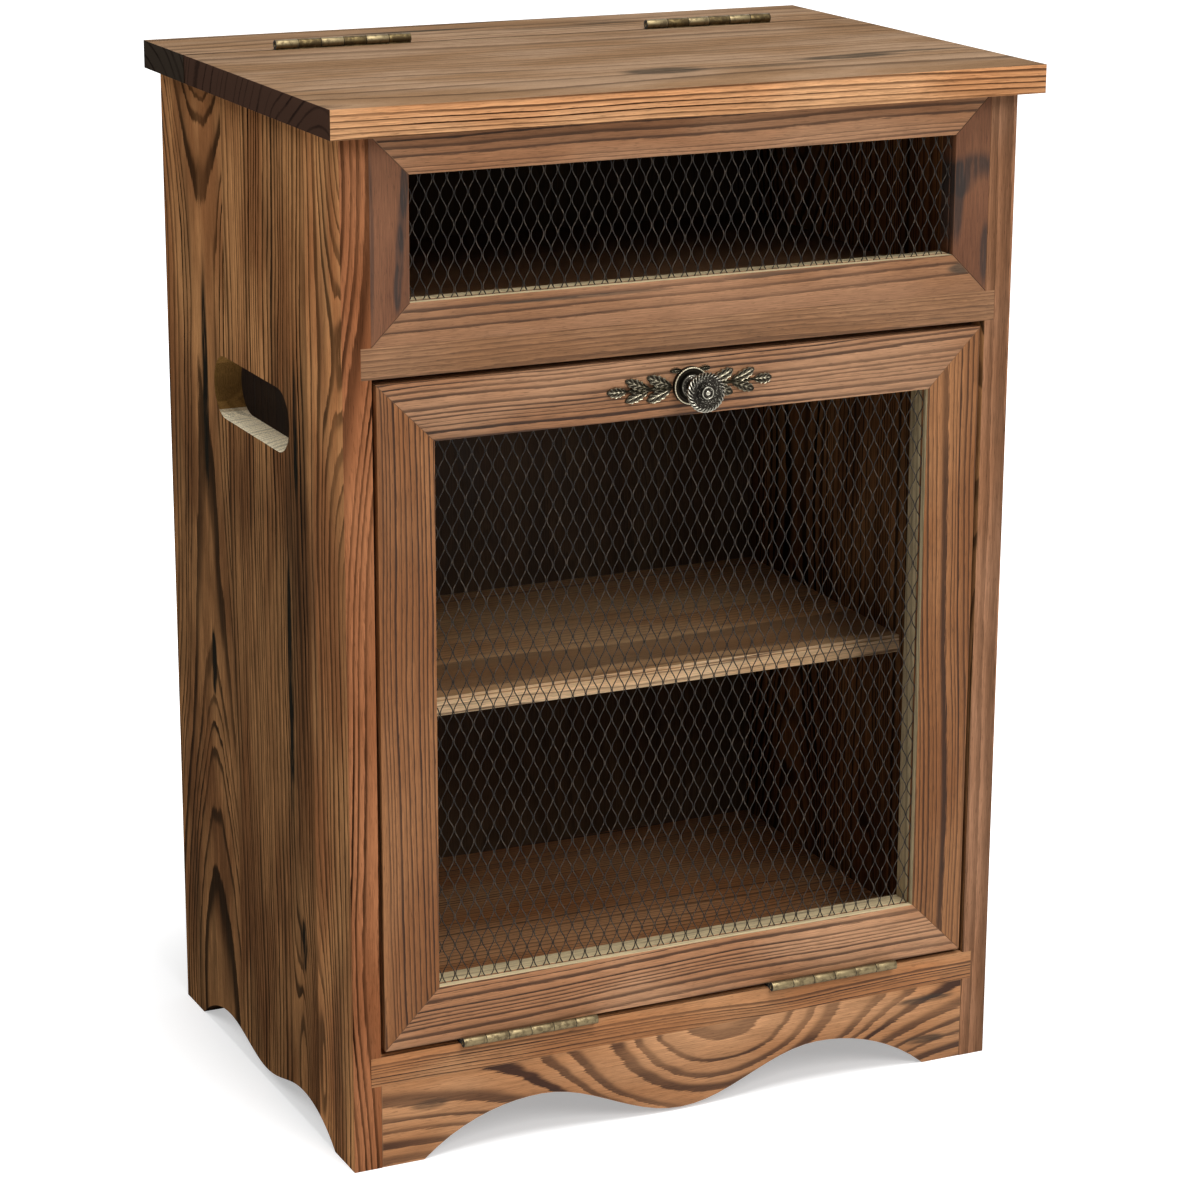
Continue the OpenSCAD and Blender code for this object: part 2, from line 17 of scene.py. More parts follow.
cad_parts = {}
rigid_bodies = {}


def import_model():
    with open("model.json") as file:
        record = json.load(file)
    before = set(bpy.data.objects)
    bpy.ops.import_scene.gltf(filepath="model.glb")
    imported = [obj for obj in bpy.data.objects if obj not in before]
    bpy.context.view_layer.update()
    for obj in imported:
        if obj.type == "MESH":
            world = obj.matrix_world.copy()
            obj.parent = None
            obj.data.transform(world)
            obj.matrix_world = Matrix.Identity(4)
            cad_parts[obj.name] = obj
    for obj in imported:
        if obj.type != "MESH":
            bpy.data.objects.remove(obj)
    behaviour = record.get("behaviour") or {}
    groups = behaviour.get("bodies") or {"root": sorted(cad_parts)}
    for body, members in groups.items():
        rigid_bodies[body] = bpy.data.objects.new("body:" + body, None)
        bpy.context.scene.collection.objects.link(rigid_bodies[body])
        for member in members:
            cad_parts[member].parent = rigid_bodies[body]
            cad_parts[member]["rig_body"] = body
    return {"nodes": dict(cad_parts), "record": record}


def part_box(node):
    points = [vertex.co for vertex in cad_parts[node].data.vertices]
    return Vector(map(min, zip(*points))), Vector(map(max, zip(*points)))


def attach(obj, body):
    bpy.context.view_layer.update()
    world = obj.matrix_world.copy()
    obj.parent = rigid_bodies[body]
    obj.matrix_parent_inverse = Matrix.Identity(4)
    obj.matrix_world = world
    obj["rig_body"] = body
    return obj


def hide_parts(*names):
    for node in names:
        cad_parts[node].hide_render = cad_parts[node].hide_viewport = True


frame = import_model()
bpy.context.view_layer.update()

# %% [markdown]
# ## The camera
# The photograph was taken from the cabinet's front left, a little above its lid. The
# camera's place was worked out from the cabinet's straight edges. A long lens keeps the
# upright edges almost parallel. The camera's three axes are worked out from its turn,
# its dip and a very small roll, and become the columns of its matrix.

# %% The camera
EYE = Vector((-0.8082, -1.7204, 0.8122))
LENS = 106.98
turn, dip, roll = (math.radians(a) for a in (25.37, 16.28, 0.25))

forward = Vector((math.sin(turn) * math.cos(dip), math.cos(turn) * math.cos(dip), -math.sin(dip)))
level_right = Vector((math.cos(turn), -math.sin(turn), 0))
level_up = level_right.cross(forward)
right = level_right * math.cos(roll) + level_up * math.sin(roll)
up = level_up * math.cos(roll) - level_right * math.sin(roll)

camera = bpy.data.objects.new("camera", bpy.data.cameras.new("camera"))
bpy.context.scene.collection.objects.link(camera)
camera.data.lens, camera.data.sensor_width = LENS, 36
camera.matrix_world = Matrix.Translation(EYE) @ Matrix((right, up, -forward)).transposed().to_4x4()
bpy.context.scene.camera = camera
bpy.context.scene.view_settings.view_transform = "Standard"
print("camera looks along", [round(v, 3) for v in forward])

# %% [markdown]
# ## A short way to write node trees
# Every finish here is a tree of shader nodes. Adding nodes by hand takes four lines each,
# so a small helper adds a node, sets its options, feeds its sockets and gives back one
# output. A number or a colour sets a socket, and another node's output is linked to it.

# %% The helper for node trees
MM = 1000  # millimetres in a metre


class Tree:
    """Adds nodes to one shader tree and links them."""

    def __init__(self, tree):
        self.tree = tree

    def add(self, kind, feeds=None, out=0, **options):
        """Adds a node of a kind. Feeds go to sockets by name or number; out picks the result."""
        node = self.tree.nodes.new("ShaderNode" + kind)
        for name, value in options.items():
            setattr(node, name, value)
        for name, value in (feeds or {}).items():
            if isinstance(value, bpy.types.NodeSocket):
                self.link(value, node.inputs[name])
            else:
                node.inputs[name].default_value = value
        return node.outputs[out]

    def sum(self, operation, *terms, clamp=False):
        """One Math node: ADD, MULTIPLY, FRACT and so on."""
        return self.add("Math", dict(enumerate(terms)), operation=operation, use_clamp=clamp)

    def vector(self, operation, *terms, out=0):
        """One Vector Math node."""
        return self.add("VectorMath", dict(enumerate(terms)), operation=operation, out=out)

    def step(self, value, start, end, low=0.0, high=1.0):
        """Goes smoothly from low to high while value goes from start to end."""
        return self.add("MapRange", {0: value, 1: start, 2: end, 3: low, 4: high},
                        interpolation_type="SMOOTHSTEP")

    def blend(self, share, first, second):
        """Mixes two colours."""
        return self.add("Mix", {0: share, 6: first, 7: second}, out=2, data_type="RGBA",
                        clamp_factor=True)

    def noise(self, place, detail=1.0, rough=0.5, out=0, dimensions="3D", **feeds):
        """Noise at a place, already scaled, so its own scale is 1."""
        feeds = {"Scale": 1.0, "Detail": detail, "Roughness": rough, **feeds}
        feeds["W" if dimensions == "1D" else "Vector"] = place
        return self.add("TexNoise", feeds, out=out, noise_dimensions=dimensions)

    def millimetres(self, **turn):
        """The piece's own coordinates in millimetres. Turn may hold Rotation and Location."""
        return self.add("Mapping", {"Vector": self.add("TexCoord", out=3),
                                    "Scale": (MM, MM, MM), **turn})

    def link(self, output, socket):
        """Feeds a socket of a node that is already there."""
        self.tree.links.new(output, socket)


def paint(red, green, blue):
    """A colour as screens show it, 0 to 255, turned into the linear values that shaders use."""
    shares = np.array([red, green, blue]) / 255
    linear = np.where(shares <= 0.04045, shares / 12.92, ((shares + 0.055) / 1.055) ** 2.4)
    return (*linear.tolist(), 1.0)


def new_material(name):
    """A material, the helper for its tree, and its Principled shader."""
    material = bpy.data.materials.new(name)
    material.use_nodes = True
    return material, Tree(material.node_tree), material.node_tree.nodes["Principled BSDF"]


def new_group(name, inputs, outputs):
    """A node group. Inputs are (name, kind, starting value), outputs (name, kind)."""
    tree = bpy.data.node_groups.new(name, "ShaderNodeTree")
    for socket_name, kind, value in inputs:
        socket = tree.interface.new_socket(socket_name, in_out="INPUT",
                                           socket_type="NodeSocket" + kind)
        if value is not None:
            socket.default_value = value
    for socket_name, kind in outputs:
        tree.interface.new_socket(socket_name, in_out="OUTPUT", socket_type="NodeSocket" + kind)
    entry = tree.nodes.new("NodeGroupInput").outputs
    leave = tree.nodes.new("NodeGroupOutput").inputs
    return tree, Tree(tree), entry, leave


print("paint(128, 128, 128) is", [round(v, 3) for v in paint(128, 128, 128)[:3]])

# %% [markdown]
# ## Wood as rings round a heart
# A tree grows one ring a year round its heart: soft pale wood in spring and a hard dark
# line in late summer. A board is a cut through those rings, so its lines come from where
# the heart lay. Far to one side it gives straight close lines, and just under the face it
# gives the tall arches of a flat-sawn board. Painting lines on each face couldn't do that,
# and they wouldn't meet at the edges. So the group works in the solid: the distance from
# the heart's line, divided by a ring's width, counts the rings, and the part after the
# point says how far through the year a point is.
# Scorching and brushing darkened the hard lines and burned some into wide grey-green bands.

# %% The node group for scorched softwood
def make_ring_wood():
    """Places are in millimetres with X along the grain. The ring count at a point is
    (distance from the heart + taper x length + lift + waver) / ring width."""
    tree, t, ins, outs = new_group(
        "Scorched ring wood",
        [("Vector", "Vector", None), ("Heart Y", "Float", 0.0), ("Heart Z", "Float", 60.0),
         ("Ring", "Float", 4.0), ("Taper", "Float", 0.02), ("Wander", "Float", 8.0),
         ("Ripple", "Float", 0.6), ("Uneven", "Float", 0.8), ("Lift", "Float", 0.0),
         ("Seed", "Float", 0.0), ("Line", "Float", 0.9), ("Width", "Float", 0.38),
         ("Burn", "Float", 0.3), ("Smoke", "Float", 0.15), ("Fray", "Float", 0.35),
         ("Pale", "Color", paint(180, 130, 95)), ("Warm", "Color", paint(165, 105, 65)),
         ("Dark", "Color", paint(92, 55, 38)), ("Burnt", "Color", paint(60, 55, 45)),
         ("Stain", "Float", 0.0), ("Cut end", "Float", 0.0), ("Bare", "Float", 0.0),
         ("Rubbed", "Float", 0.0),
         ("End", "Color", paint(62, 46, 36)), ("Raw", "Color", paint(190, 165, 120)),
         ("Sawn", "Color", paint(150, 124, 84))],
        [("Color", "Color"), ("Roughness", "Float"), ("Height", "Float")])
    seed = t.add("CombineXYZ", {0: t.sum("MULTIPLY", ins["Seed"], 13.7),
                                1: t.sum("MULTIPLY", ins["Seed"], 5.3), 2: ins["Seed"]})

    def spread(x, y, out=0, **more):
        """Noise stretched along the grain, x and y millimetres long and wide."""
        place = t.vector("MULTIPLY", ins["Vector"], (1 / x, 1 / y, 1 / y))
        return t.noise(t.vector("ADD", place, seed), out=out, **more)

    # the heart's line wanders, slowly along the board and faster across it
    sway = t.vector("SUBTRACT", spread(240, 75, out=1), (0.5, 0.5, 0.5))
    sway = t.vector("MULTIPLY", sway, (0.0, 2.0, 2.0))
    swayed = t.add("VectorMath", {0: sway, "Scale": ins["Wander"]}, operation="SCALE")
    place = t.vector("ADD", ins["Vector"], swayed)
    heart = t.add("CombineXYZ", {1: ins["Heart Y"], 2: ins["Heart Z"]})
    reach = t.vector("MULTIPLY", t.vector("SUBTRACT", place, heart), (0.0, 1.0, 1.0))
    radius = t.vector("LENGTH", reach, out=1)
    along = t.add("SeparateXYZ", {0: ins["Vector"]}, out=0)
    radius = t.sum("MULTIPLY_ADD", along, ins["Taper"], radius)
    waver = t.sum("SUBTRACT", spread(85, 13, detail=2.0), 0.5)
    radius = t.sum("MULTIPLY_ADD", waver, t.sum("MULTIPLY", ins["Ripple"], 2.0), radius)
    radius = t.sum("ADD", radius, ins["Lift"])

    # count the rings, some years wider than others
    fibre = spread(16, 0.5, detail=3.0, rough=0.62)
    count = t.sum("DIVIDE", radius, ins["Ring"])
    years = t.noise(t.sum("MULTIPLY_ADD", count, 0.23, ins["Seed"]), dimensions="1D")
    count = t.sum("MULTIPLY_ADD", t.sum("SUBTRACT", years, 0.5),
                  t.sum("MULTIPLY", ins["Uneven"], 4.0), count)
    # the brushed fibres fray the lines' edges
    count = t.sum("MULTIPLY_ADD", t.sum("SUBTRACT", fibre, 0.5), ins["Fray"], count)
    year, season = t.sum("FLOOR", count), t.sum("FRACT", count)
    chance = t.add("TexWhiteNoise", {"W": t.sum("ADD", year, ins["Seed"])}, out=1,
                   noise_dimensions="1D")
    chance_a, chance_b = (t.add("SeparateColor", {0: chance}, out=i) for i in (0, 1))

    # the hard late-summer line: a soft start and a sharp end
    width = t.sum("MULTIPLY", ins["Width"], t.sum("MULTIPLY_ADD", chance_a, 1.0, 0.5))
    start = t.sum("SUBTRACT", 0.98, width)
    line = t.step(season, start, t.sum("MULTIPLY_ADD", width, -0.5, 0.98))
    line = t.sum("MULTIPLY", line, t.step(season, 0.95, 1.0, 1.0, 0.0))
    line = t.sum("MULTIPLY", line, t.sum("MULTIPLY_ADD", chance_b, 0.45, 0.6))
    line = t.sum("MULTIPLY", line, t.step(spread(150, 24, detail=1.0), 0.32, 0.55, 0.55, 1.0))
    # some stretches of some years burned into broad bands
    patch = t.add("CombineXYZ", {0: t.sum("MULTIPLY_ADD", along, 1 / 130, ins["Seed"]),
                                 1: t.sum("MULTIPLY", year, 5.17), 2: ins["Seed"]})
    fire = t.step(t.noise(patch, detail=0.0), t.sum("MULTIPLY_ADD", ins["Burn"], -0.5, 0.95),
                  t.sum("MULTIPLY_ADD", ins["Burn"], -0.5, 1.1))
    band = t.step(season, t.sum("MULTIPLY_ADD", width, -2.2, 0.95), start)
    fire = t.sum("MULTIPLY", fire, t.sum("MULTIPLY", band, t.step(season, 0.93, 1.0, 1.0, 0.4)))

    # colours: pale and warm patches, then the lines, the burns and the fine fibres
    body = t.blend(t.step(spread(120, 35, detail=2.0), 0.35, 0.65), ins["Pale"], ins["Warm"])
    body = t.blend(t.sum("MULTIPLY", season, 0.3), body, ins["Dark"])
    colour = t.blend(t.sum("MULTIPLY", line, ins["Line"]), body, ins["Dark"])
    colour = t.blend(t.sum("MULTIPLY", fire, 0.9), colour, ins["Burnt"])
    smoke = t.step(spread(210, 26, detail=3.0), 0.5, 0.74)
    colour = t.blend(t.sum("MULTIPLY", smoke, ins["Smoke"]), colour, ins["Burnt"])
    streak = t.step(spread(30, 2.2, detail=3.0, rough=0.6), 0.32, 0.52, 0.55, 1.0)
    colour = t.blend(t.sum("MULTIPLY", ins["Stain"], streak), colour, ins["Burnt"])
    grey = t.sum("MULTIPLY_ADD", fibre, 1.5, 0.25)
    pores = t.step(spread(6, 0.35, detail=1.0), 0.62, 0.7, 1.0, 0.66)
    grey = t.sum("MULTIPLY", grey, pores)
    colour = t.vector("SCALE", colour)
    t.link(grey, colour.node.inputs["Scale"])
    # bare wood: duller along the grain, bright and pored where it is cut across
    dots = t.step(t.noise(t.vector("MULTIPLY", ins["Vector"], (1.1, 1.1, 1.1)), detail=1.0),
                  0.56, 0.66, 1.0, 0.6)
    shade = t.blend(ins["Cut end"], (1, 1, 1, 1), t.blend(dots, (0, 0, 0, 1), (1, 1, 1, 1)))
    raw = t.vector("MULTIPLY", t.blend(ins["Cut end"], ins["Sawn"], ins["Raw"]), shade)
    raw = t.add("VectorMath", {0: raw, "Scale": t.sum(
        "MULTIPLY", grey, t.sum("MULTIPLY_ADD", line, -0.4, 1.0))}, operation="SCALE")
    arcs = t.blend(t.sum("MULTIPLY", line, 0.75), ins["End"], paint(24, 18, 15))
    colour = t.blend(ins["Cut end"], colour, arcs)
    colour = t.blend(t.sum("MULTIPLY", ins["Rubbed"], 0.3), colour, ins["Pale"])
    colour = t.blend(ins["Bare"], colour, raw)
    t.link(colour, outs["Color"])
    rough = t.sum("MULTIPLY_ADD", fibre, 0.25, 0.46)
    t.link(t.sum("MULTIPLY_ADD", line, -0.08, rough), outs["Roughness"])
    height = t.sum("MULTIPLY_ADD", line, 0.10, t.sum("MULTIPLY", fibre, 0.08))
    t.link(height, outs["Height"])
    return tree


ring_wood = make_ring_wood()
print("ring wood:", len(ring_wood.nodes), "nodes")

# %% [markdown]
# ## Hills in the grain
# Where a branch once grew near, the rings bulge, and a saw that cuts through the bulge
# leaves nested ovals. Adding a smooth hill to the distance from the heart does the same.
# The hill's own outline also serves as the mask of a dark stain.

# %% The group for a hill
def make_hill():
    """Height x e^(-d^2), where d is the distance from the centre in units of the size."""
    tree, t, ins, outs = new_group(
        "Grain hill",
        [("Vector", "Vector", None), ("Centre", "Vector", (0, 0, 0)),
         ("Size", "Vector", (60, 20, 60)), ("Height", "Float", 20.0)],
        [("Lift", "Float"), ("Mask", "Float")])
    off = t.vector("DIVIDE", t.vector("SUBTRACT", ins["Vector"], ins["Centre"]), ins["Size"])
    square = t.vector("DOT_PRODUCT", off, off, out=1)
    bell = t.sum("POWER", math.e, t.sum("MULTIPLY", square, -1.0))
    t.link(t.sum("MULTIPLY", bell, ins["Height"]), outs["Lift"])
    t.link(t.step(bell, 0.25, 0.7), outs["Mask"])
    return tree


hill_group = make_hill()
print("groups:", [g.name for g in bpy.data.node_groups])

# %% [markdown]
# ## From a CAD board to a finished board
# A real board has its sharp corners taken off with a rub of sandpaper, and that fine
# rounding catches the light. A copy of the CAD board gets it: its doubled points are
# merged, coplanar triangles joined, and every sharp edge bevelled by a few tenths of a
# millimetre. Each face also keeps numbers for the shader: whether it cuts across the grain,
# whether it is bare wood that was cut after the scorching, and whether it is a rubbed edge.
# A wide panel is glued up from staves, so its copy is cut along the glue lines.

# %% Dress a CAD board
SHARP, CREASE = math.radians(35), math.radians(40)  # bevelled from, and smooth up to


def dress(name, bevel_mm=0.5, cuts=()):
    """A copy of a CAD node with merged points and rounded edges, standing for that node.
    Cuts are (point, normal) of planes along which its faces are split."""
    mesh = frame["nodes"][name].data.copy()
    mesh.name = name + "_finished"
    mesh.materials.clear()
    work = bmesh.new()
    work.from_mesh(mesh)
    bmesh.ops.remove_doubles(work, verts=work.verts, dist=2e-6)
    bmesh.ops.dissolve_limit(work, angle_limit=math.radians(0.5), verts=work.verts,
                             edges=work.edges)
    sharp = [e for e in work.edges if e.is_manifold and e.calc_face_angle(0) > SHARP]
    rubbed = work.faces.layers.float.new("rubbed")
    made = bmesh.ops.bevel(work, geom=sharp, offset=bevel_mm / MM, segments=2,
                           profile=0.5, affect="EDGES", clamp_overlap=True)
    for face in made["faces"]:
        face[rubbed] = 1.0
    for point, normal in cuts:
        bmesh.ops.bisect_plane(work, geom=work.verts[:] + work.edges[:] + work.faces[:],
                               plane_co=point, plane_no=normal, dist=1e-7)
    for face in work.faces:
        face.smooth = True
    for edge in work.edges:
        edge.smooth = edge.is_manifold and edge.calc_face_angle(0) < CREASE
    work.to_mesh(mesh)
    work.free()
    piece = bpy.data.objects.new(name + "_finished", mesh)
    bpy.context.scene.collection.objects.link(piece)
    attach(piece, frame["nodes"][name]["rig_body"])
    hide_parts(name)
    return piece


slots = {s["node"]: s["material_slot"] for s in frame["record"]["subparts"]}


def face_values(piece, name, values):
    """Stores one number for each face."""
    layer = piece.data.attributes.new(name, "FLOAT", "FACE")
    layer.data.foreach_set("value", np.asarray(values, np.float32))


def face_arrays(piece):
    """Every face's centre and normal, as arrays."""
    count = len(piece.data.polygons)
    centre, normal = np.zeros(count * 3, np.float32), np.zeros(count * 3, np.float32)
    piece.data.polygons.foreach_get("center", centre)
    piece.data.polygons.foreach_get("normal", normal)
    return centre.reshape(-1, 3), normal.reshape(-1, 3)


# %% [markdown]
# ## One finish for each board
# No two boards come from the same place in the tree, so each gets its own heart, ring
# width and colours. A Mapping node turns the board so that its grain lies along X and its
# face looks along Z, and puts the board's centre at zero. Then the numbers below read as a
# sawyer would say them: heart so far to the side and so far under the face.

# %% Wood for one board
AXES = {"x": Vector((1, 0, 0)), "y": Vector((0, 1, 0)), "z": Vector((0, 0, 1))}
# How squarely a face looks across the board to count as its long edge, and how squarely it
# looks along the grain to start to show cut ends. A bare wall shows them only where it
# looks up the grain: painted light, so that the slot's lower wall is bright, while its upper
# wall, cut across the grain too, keeps the dull tone as painted shade.
EDGE_FROM = 0.8
CUT_FROM, CUT_SPAN = 0.15, 0.35
WALL_FROM, WALL_SPAN = 0.8, 0.15


def wood(name, turned, centre, heart, ring, hills=(), stain=(), gloss=0.14, **values):
    """One board's wood: its place in the tree, its ring width and its colours."""
    material, t, shader = new_material(name)
    place = t.millimetres(Rotation=turned.to_euler("XYZ"), Location=-centre)

    def at_place(group, **feeds):
        node = t.add("Group", {}, node_tree=group).node
        t.link(place, node.inputs["Vector"])
        for key, value in feeds.items():
            node.inputs[key].default_value = value
        return node.outputs

    lift, mark = 0.0, 0.0
    for middle, size, height in hills:
        lift = t.sum("ADD", at_place(hill_group, Centre=middle, Size=size, Height=height)["Lift"],
                     lift)
    for middle, size, depth in stain:
        mark = t.sum("MULTIPLY_ADD", at_place(hill_group, Centre=middle, Size=size)["Mask"],
                     depth, mark, clamp=True)
    feeds = {"Heart Y": heart[0], "Heart Z": -heart[1], "Ring": ring, "Lift": lift,
             "Stain": mark,
             **{key.replace("_", " ").capitalize(): value for key, value in values.items()}}
    for key, layer in (("Cut end", "cut_end"), ("Bare", "bare"), ("Rubbed", "rubbed")):
        feeds[key] = t.add("Attribute", out=2, attribute_name=layer)
    grown = at_place(ring_wood)
    for key, value in feeds.items():
        if isinstance(value, bpy.types.NodeSocket):
            t.link(value, grown["Color"].node.inputs[key])
        else:
            grown["Color"].node.inputs[key].default_value = value
    t.link(grown["Color"], shader.inputs["Base Color"])
    t.link(grown["Roughness"], shader.inputs["Roughness"])
    bump = t.add("Bump", {"Height": grown["Height"], "Strength": 0.7, "Distance": 0.001})
    t.link(bump, shader.inputs["Normal"])
    shader.inputs["Specular IOR Level"].default_value = gloss
    return material


def board(name, grain, face, bevel=0.5, bare=None, edge=None, far=None, staves=(),
          reach=EDGE_FROM, **values):
    """Dresses a CAD board and gives it its own wood. Grain and face are axis letters, heart
    is (to the side, under the face) in mm. Edge holds what differs on the long edges, far
    what differs on the one that looks across, and staves are (place of the glue line across
    the board in mm, what differs past it). A low reach takes the edges' rounding with them."""
    low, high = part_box(name)
    along = AXES[grain]
    out = AXES[face[-1]] * (-1 if face.startswith("-") else 1)
    across = out.cross(along)
    middle = (low + high) / 2
    piece = dress(name, bevel, cuts=[(middle + across * seam / MM, across) for seam, _ in staves])
    turned = Matrix((along, across, out))
    centre = turned @ middle * MM
    others = [{}, *(other for _, other in staves), *([edge] if edge else []),
              *([far] if far else [])]
    for number, other in enumerate(others):
        piece.data.materials.append(
            wood(f"{name}_wood_{number}", turned, centre, **{**values, **other}))
    where, normal = face_arrays(piece)
    offset = (where - np.array(middle)) @ np.array(across) * MM
    sideways, lengthways = normal @ np.array(across), normal @ np.array(along)
    finish = sum([offset > seam for seam, _ in staves], np.zeros(len(where), np.int32))
    if edge:
        finish[np.abs(sideways) > reach] = len(staves) + 1
    if far:
        finish[sideways > reach] = len(others) - 1
    piece.data.polygons.foreach_set("material_index", finish.astype(np.int32))
    open_wall = bare(where, normal) if bare else np.zeros(len(where), bool)
    # painted light: on a bare wall only the upward-looking cut end is bright, the downward one
    # stays dull as painted shade
    cut = np.where(open_wall, (lengthways - WALL_FROM) / WALL_SPAN,
                   (np.abs(lengthways) - CUT_FROM) / CUT_SPAN)
    face_values(piece, "cut_end", np.clip(cut, 0, 1))
    face_values(piece, "bare", open_wall)
    print(name, "has", len(others), "woods")


# %% [markdown]
# ## The carcass: sides, floor, divider, apron, back
# The sides are wide boards with upright grain, glued from three staves, painted much darker
# than the front: partly their own darker scorch and partly painted shade of sides that turn
# from the lamps. The hand slot was cut after the scorching, so its walls are bare.

# %% The side panels
# partly painted shade: the sides' dark paints hold their darker scorch and also the shade of sides
# turned from the lamps
SIDE = dict(pale=paint(184, 132, 85), warm=paint(138, 92, 57), dark=paint(22, 14, 9),
            burnt=paint(28, 26, 21), end=paint(60, 42, 30), raw=paint(252, 238, 204),
            sawn=paint(124, 92, 50), ring=4.6, ripple=2.0, wander=8, line=1.0, width=0.46,
            smoke=0.5, gloss=0.0, fray=0.3)
FORE = dict(SIDE, pale=paint(206, 148, 96), warm=paint(166, 109, 68), burnt=paint(44, 38, 30),
            line=0.88)
SHADE = ((-90, 0, 0), (230, 900, 900), 0.54)  # darkens a stave's lower half
FAINT_SHADE = ((-80, 0, 0), (220, 900, 900), 0.4)
SLOT_Z, SLOT_Y = (0.385 - 0.0171, 0.385 + 0.0171), (0.011 - 0.0576, 0.011 + 0.0576)


def slot_walls(where, normal):
    """The walls of the hand slot: faces that look along the panel, inside the slot's box."""
    inside = ((where[:, 2] > SLOT_Z[0]) & (where[:, 2] < SLOT_Z[1])
              & (where[:, 1] > SLOT_Y[0]) & (where[:, 1] < SLOT_Y[1]))
    return inside & (np.abs(normal[:, 0]) < 0.5)


EDGE = dict(pale=paint(160, 105, 70), warm=paint(136, 84, 53), dark=paint(14, 4, 3), ring=4.9,
            width=0.56, line=1.0, ripple=1.2, wander=6, smoke=0.0, burn=0.0, hills=(), stain=())
board("side_left", "z", "-x", heart=(-215, 60), seed=3.0, taper=0.0, burn=0.15,
      hills=[((165, -146, 0), (80, 30, 900), 30), ((-235, -94, 0), (80, 13, 900), 17)],
      stain=[FAINT_SHADE], bare=slot_walls,
      edge=dict(EDGE, heart=(-150, 90), hills=[((255, -139, 0), (130, 400, 900), 26),
                                               ((-160, -139, 0), (90, 400, 900), -5)]),
      staves=[(-84, dict(SIDE, heart=(-155, 70), seed=13.0, burn=0.3, ring=3.8,
                         hills=[((-250, -66, 0), (85, 14, 900), 20)],
                         stain=[((112, -66, 0), (40, 4, 900), 0.9),
                                ((-30, -52, 0), (75, 4, 900), 0.9),
                                ((-170, -64, 0), (16, 5, 900), 0.8), SHADE])),
              (37, dict(SIDE, heart=(72, 44), seed=15.0, burn=0.35,
                        hills=[((320, 72, 0), (80, 400, 900), -24),
                               ((-270, 72, 0), (170, 400, 900), -34)],
                        stain=[((112, 72, 0), (70, 5, 900), 0.95),
                               ((-50, 70, 0), (20, 5, 900), 0.85), SHADE]))], **FORE)
board("side_right", "z", "x", heart=(-72, 46), seed=8.0, taper=0.0, burn=0.25,
      hills=[((300, -72, 0), (170, 400, 900), -34), ((-260, -72, 0), (150, 400, 900), -30)],
      stain=[SHADE], bare=slot_walls,
      edge=dict(EDGE, heart=(150, 60), ring=9.0, line=0.3, pale=paint(158, 116, 88),
                warm=paint(140, 98, 70)),
      staves=[(-37, dict(heart=(165, 70), seed=18.0, ring=3.8,
                         hills=[((-215, 30, 0), (85, 15, 900), 20)])),
              (84, dict(FORE, heart=(225, 60), seed=19.0, burn=0.15,
                        hills=[((90, 146, 0), (85, 28, 900), 28)]))], **SIDE)

# %% [markdown]
# ## The boards that face the front
# The floor board and the divider run across between the sides, so the front shows their
# long edges. The floor board's edge has its own wood, with sharper and darker lines than
# its top. The apron's big arcs are rings of a wide plank, and a hill in the field of rings
# bends them in the middle.

# %% The floor board, the divider and the apron
FRONT = dict(pale=paint(176, 130, 90), warm=paint(158, 106, 66), dark=paint(52, 29, 18),
             burnt=paint(50, 42, 34), end=paint(96, 66, 46))
board("floor_board", "x", "z", heart=(-150, 34), ring=2.9, taper=0.012, wander=9, ripple=0.5,
      line=0.95, burn=0.1, seed=5.0,
      edge=dict(ring=2.5, width=0.42, line=1.0, dark=paint(44, 24, 15), heart=(-150, 90),
                taper=0.004, wander=4, ripple=1.2, fray=0.25,
                hills=[((62, -128, 0), (48, 400, 400), 3.2)]), **FRONT)
board("divider_board", "x", "z", heart=(-150, 14), ring=1.5, taper=0.004, wander=4, ripple=0.4,
      line=0.4, burn=0.0, seed=6.0, **{**FRONT, "pale": paint(146, 108, 78),
                                       "warm": paint(132, 94, 64)})
board("apron_front", "x", "-y", heart=(28, 36), ring=5.2, taper=0.0, wander=5, ripple=1.6,
      line=1.0, width=0.5, burn=0.25, seed=2.0, hills=[((26, 0, 0), (88, 400, 900), -36)],
      stain=[((-148, 8, 0), (12, 3, 500), 0.6), ((152, 15, 0), (20, 2.5, 500), 0.85),
             ((152, -9, 0), (14, 2.5, 500), 0.8)],
      **{**FRONT, "pale": paint(182, 134, 94), "warm": paint(164, 114, 74)})

# %% [markdown]
# ## The boards inside
# The shelf's front edge behind the net is painted paler than its top, as painted light where it
# catches light.
# The back panel gets a dark wood, which is partly painted shade for the dim inside of the cabinet.

# %% The shelf and the back
board("shelf_board", "x", "z", heart=(-60, 70), ring=3.4, taper=0.01, wander=8, ripple=0.5,
      line=0.6, burn=0.1, seed=9.0, pale=paint(206, 166, 122), warm=paint(186, 140, 96),
      # painted light: the front edge's paler paints stand for the light it catches
      dark=paint(96, 66, 46), edge=dict(pale=paint(232, 198, 156), warm=paint(216, 172, 126),
                                        ring=2.6, line=0.9, width=0.4))
# partly painted shade: the back's dark paints stand in for the dim inside of the cabinet
board("back_panel", "z", "y", heart=(0, 160), ring=5.0, taper=0.03, wander=16, ripple=0.8,
      line=0.4, burn=0.0, seed=4.0, bevel=0.3, pale=paint(70, 52, 35),
      warm=paint(60, 42, 27), dark=paint(40, 28, 19))
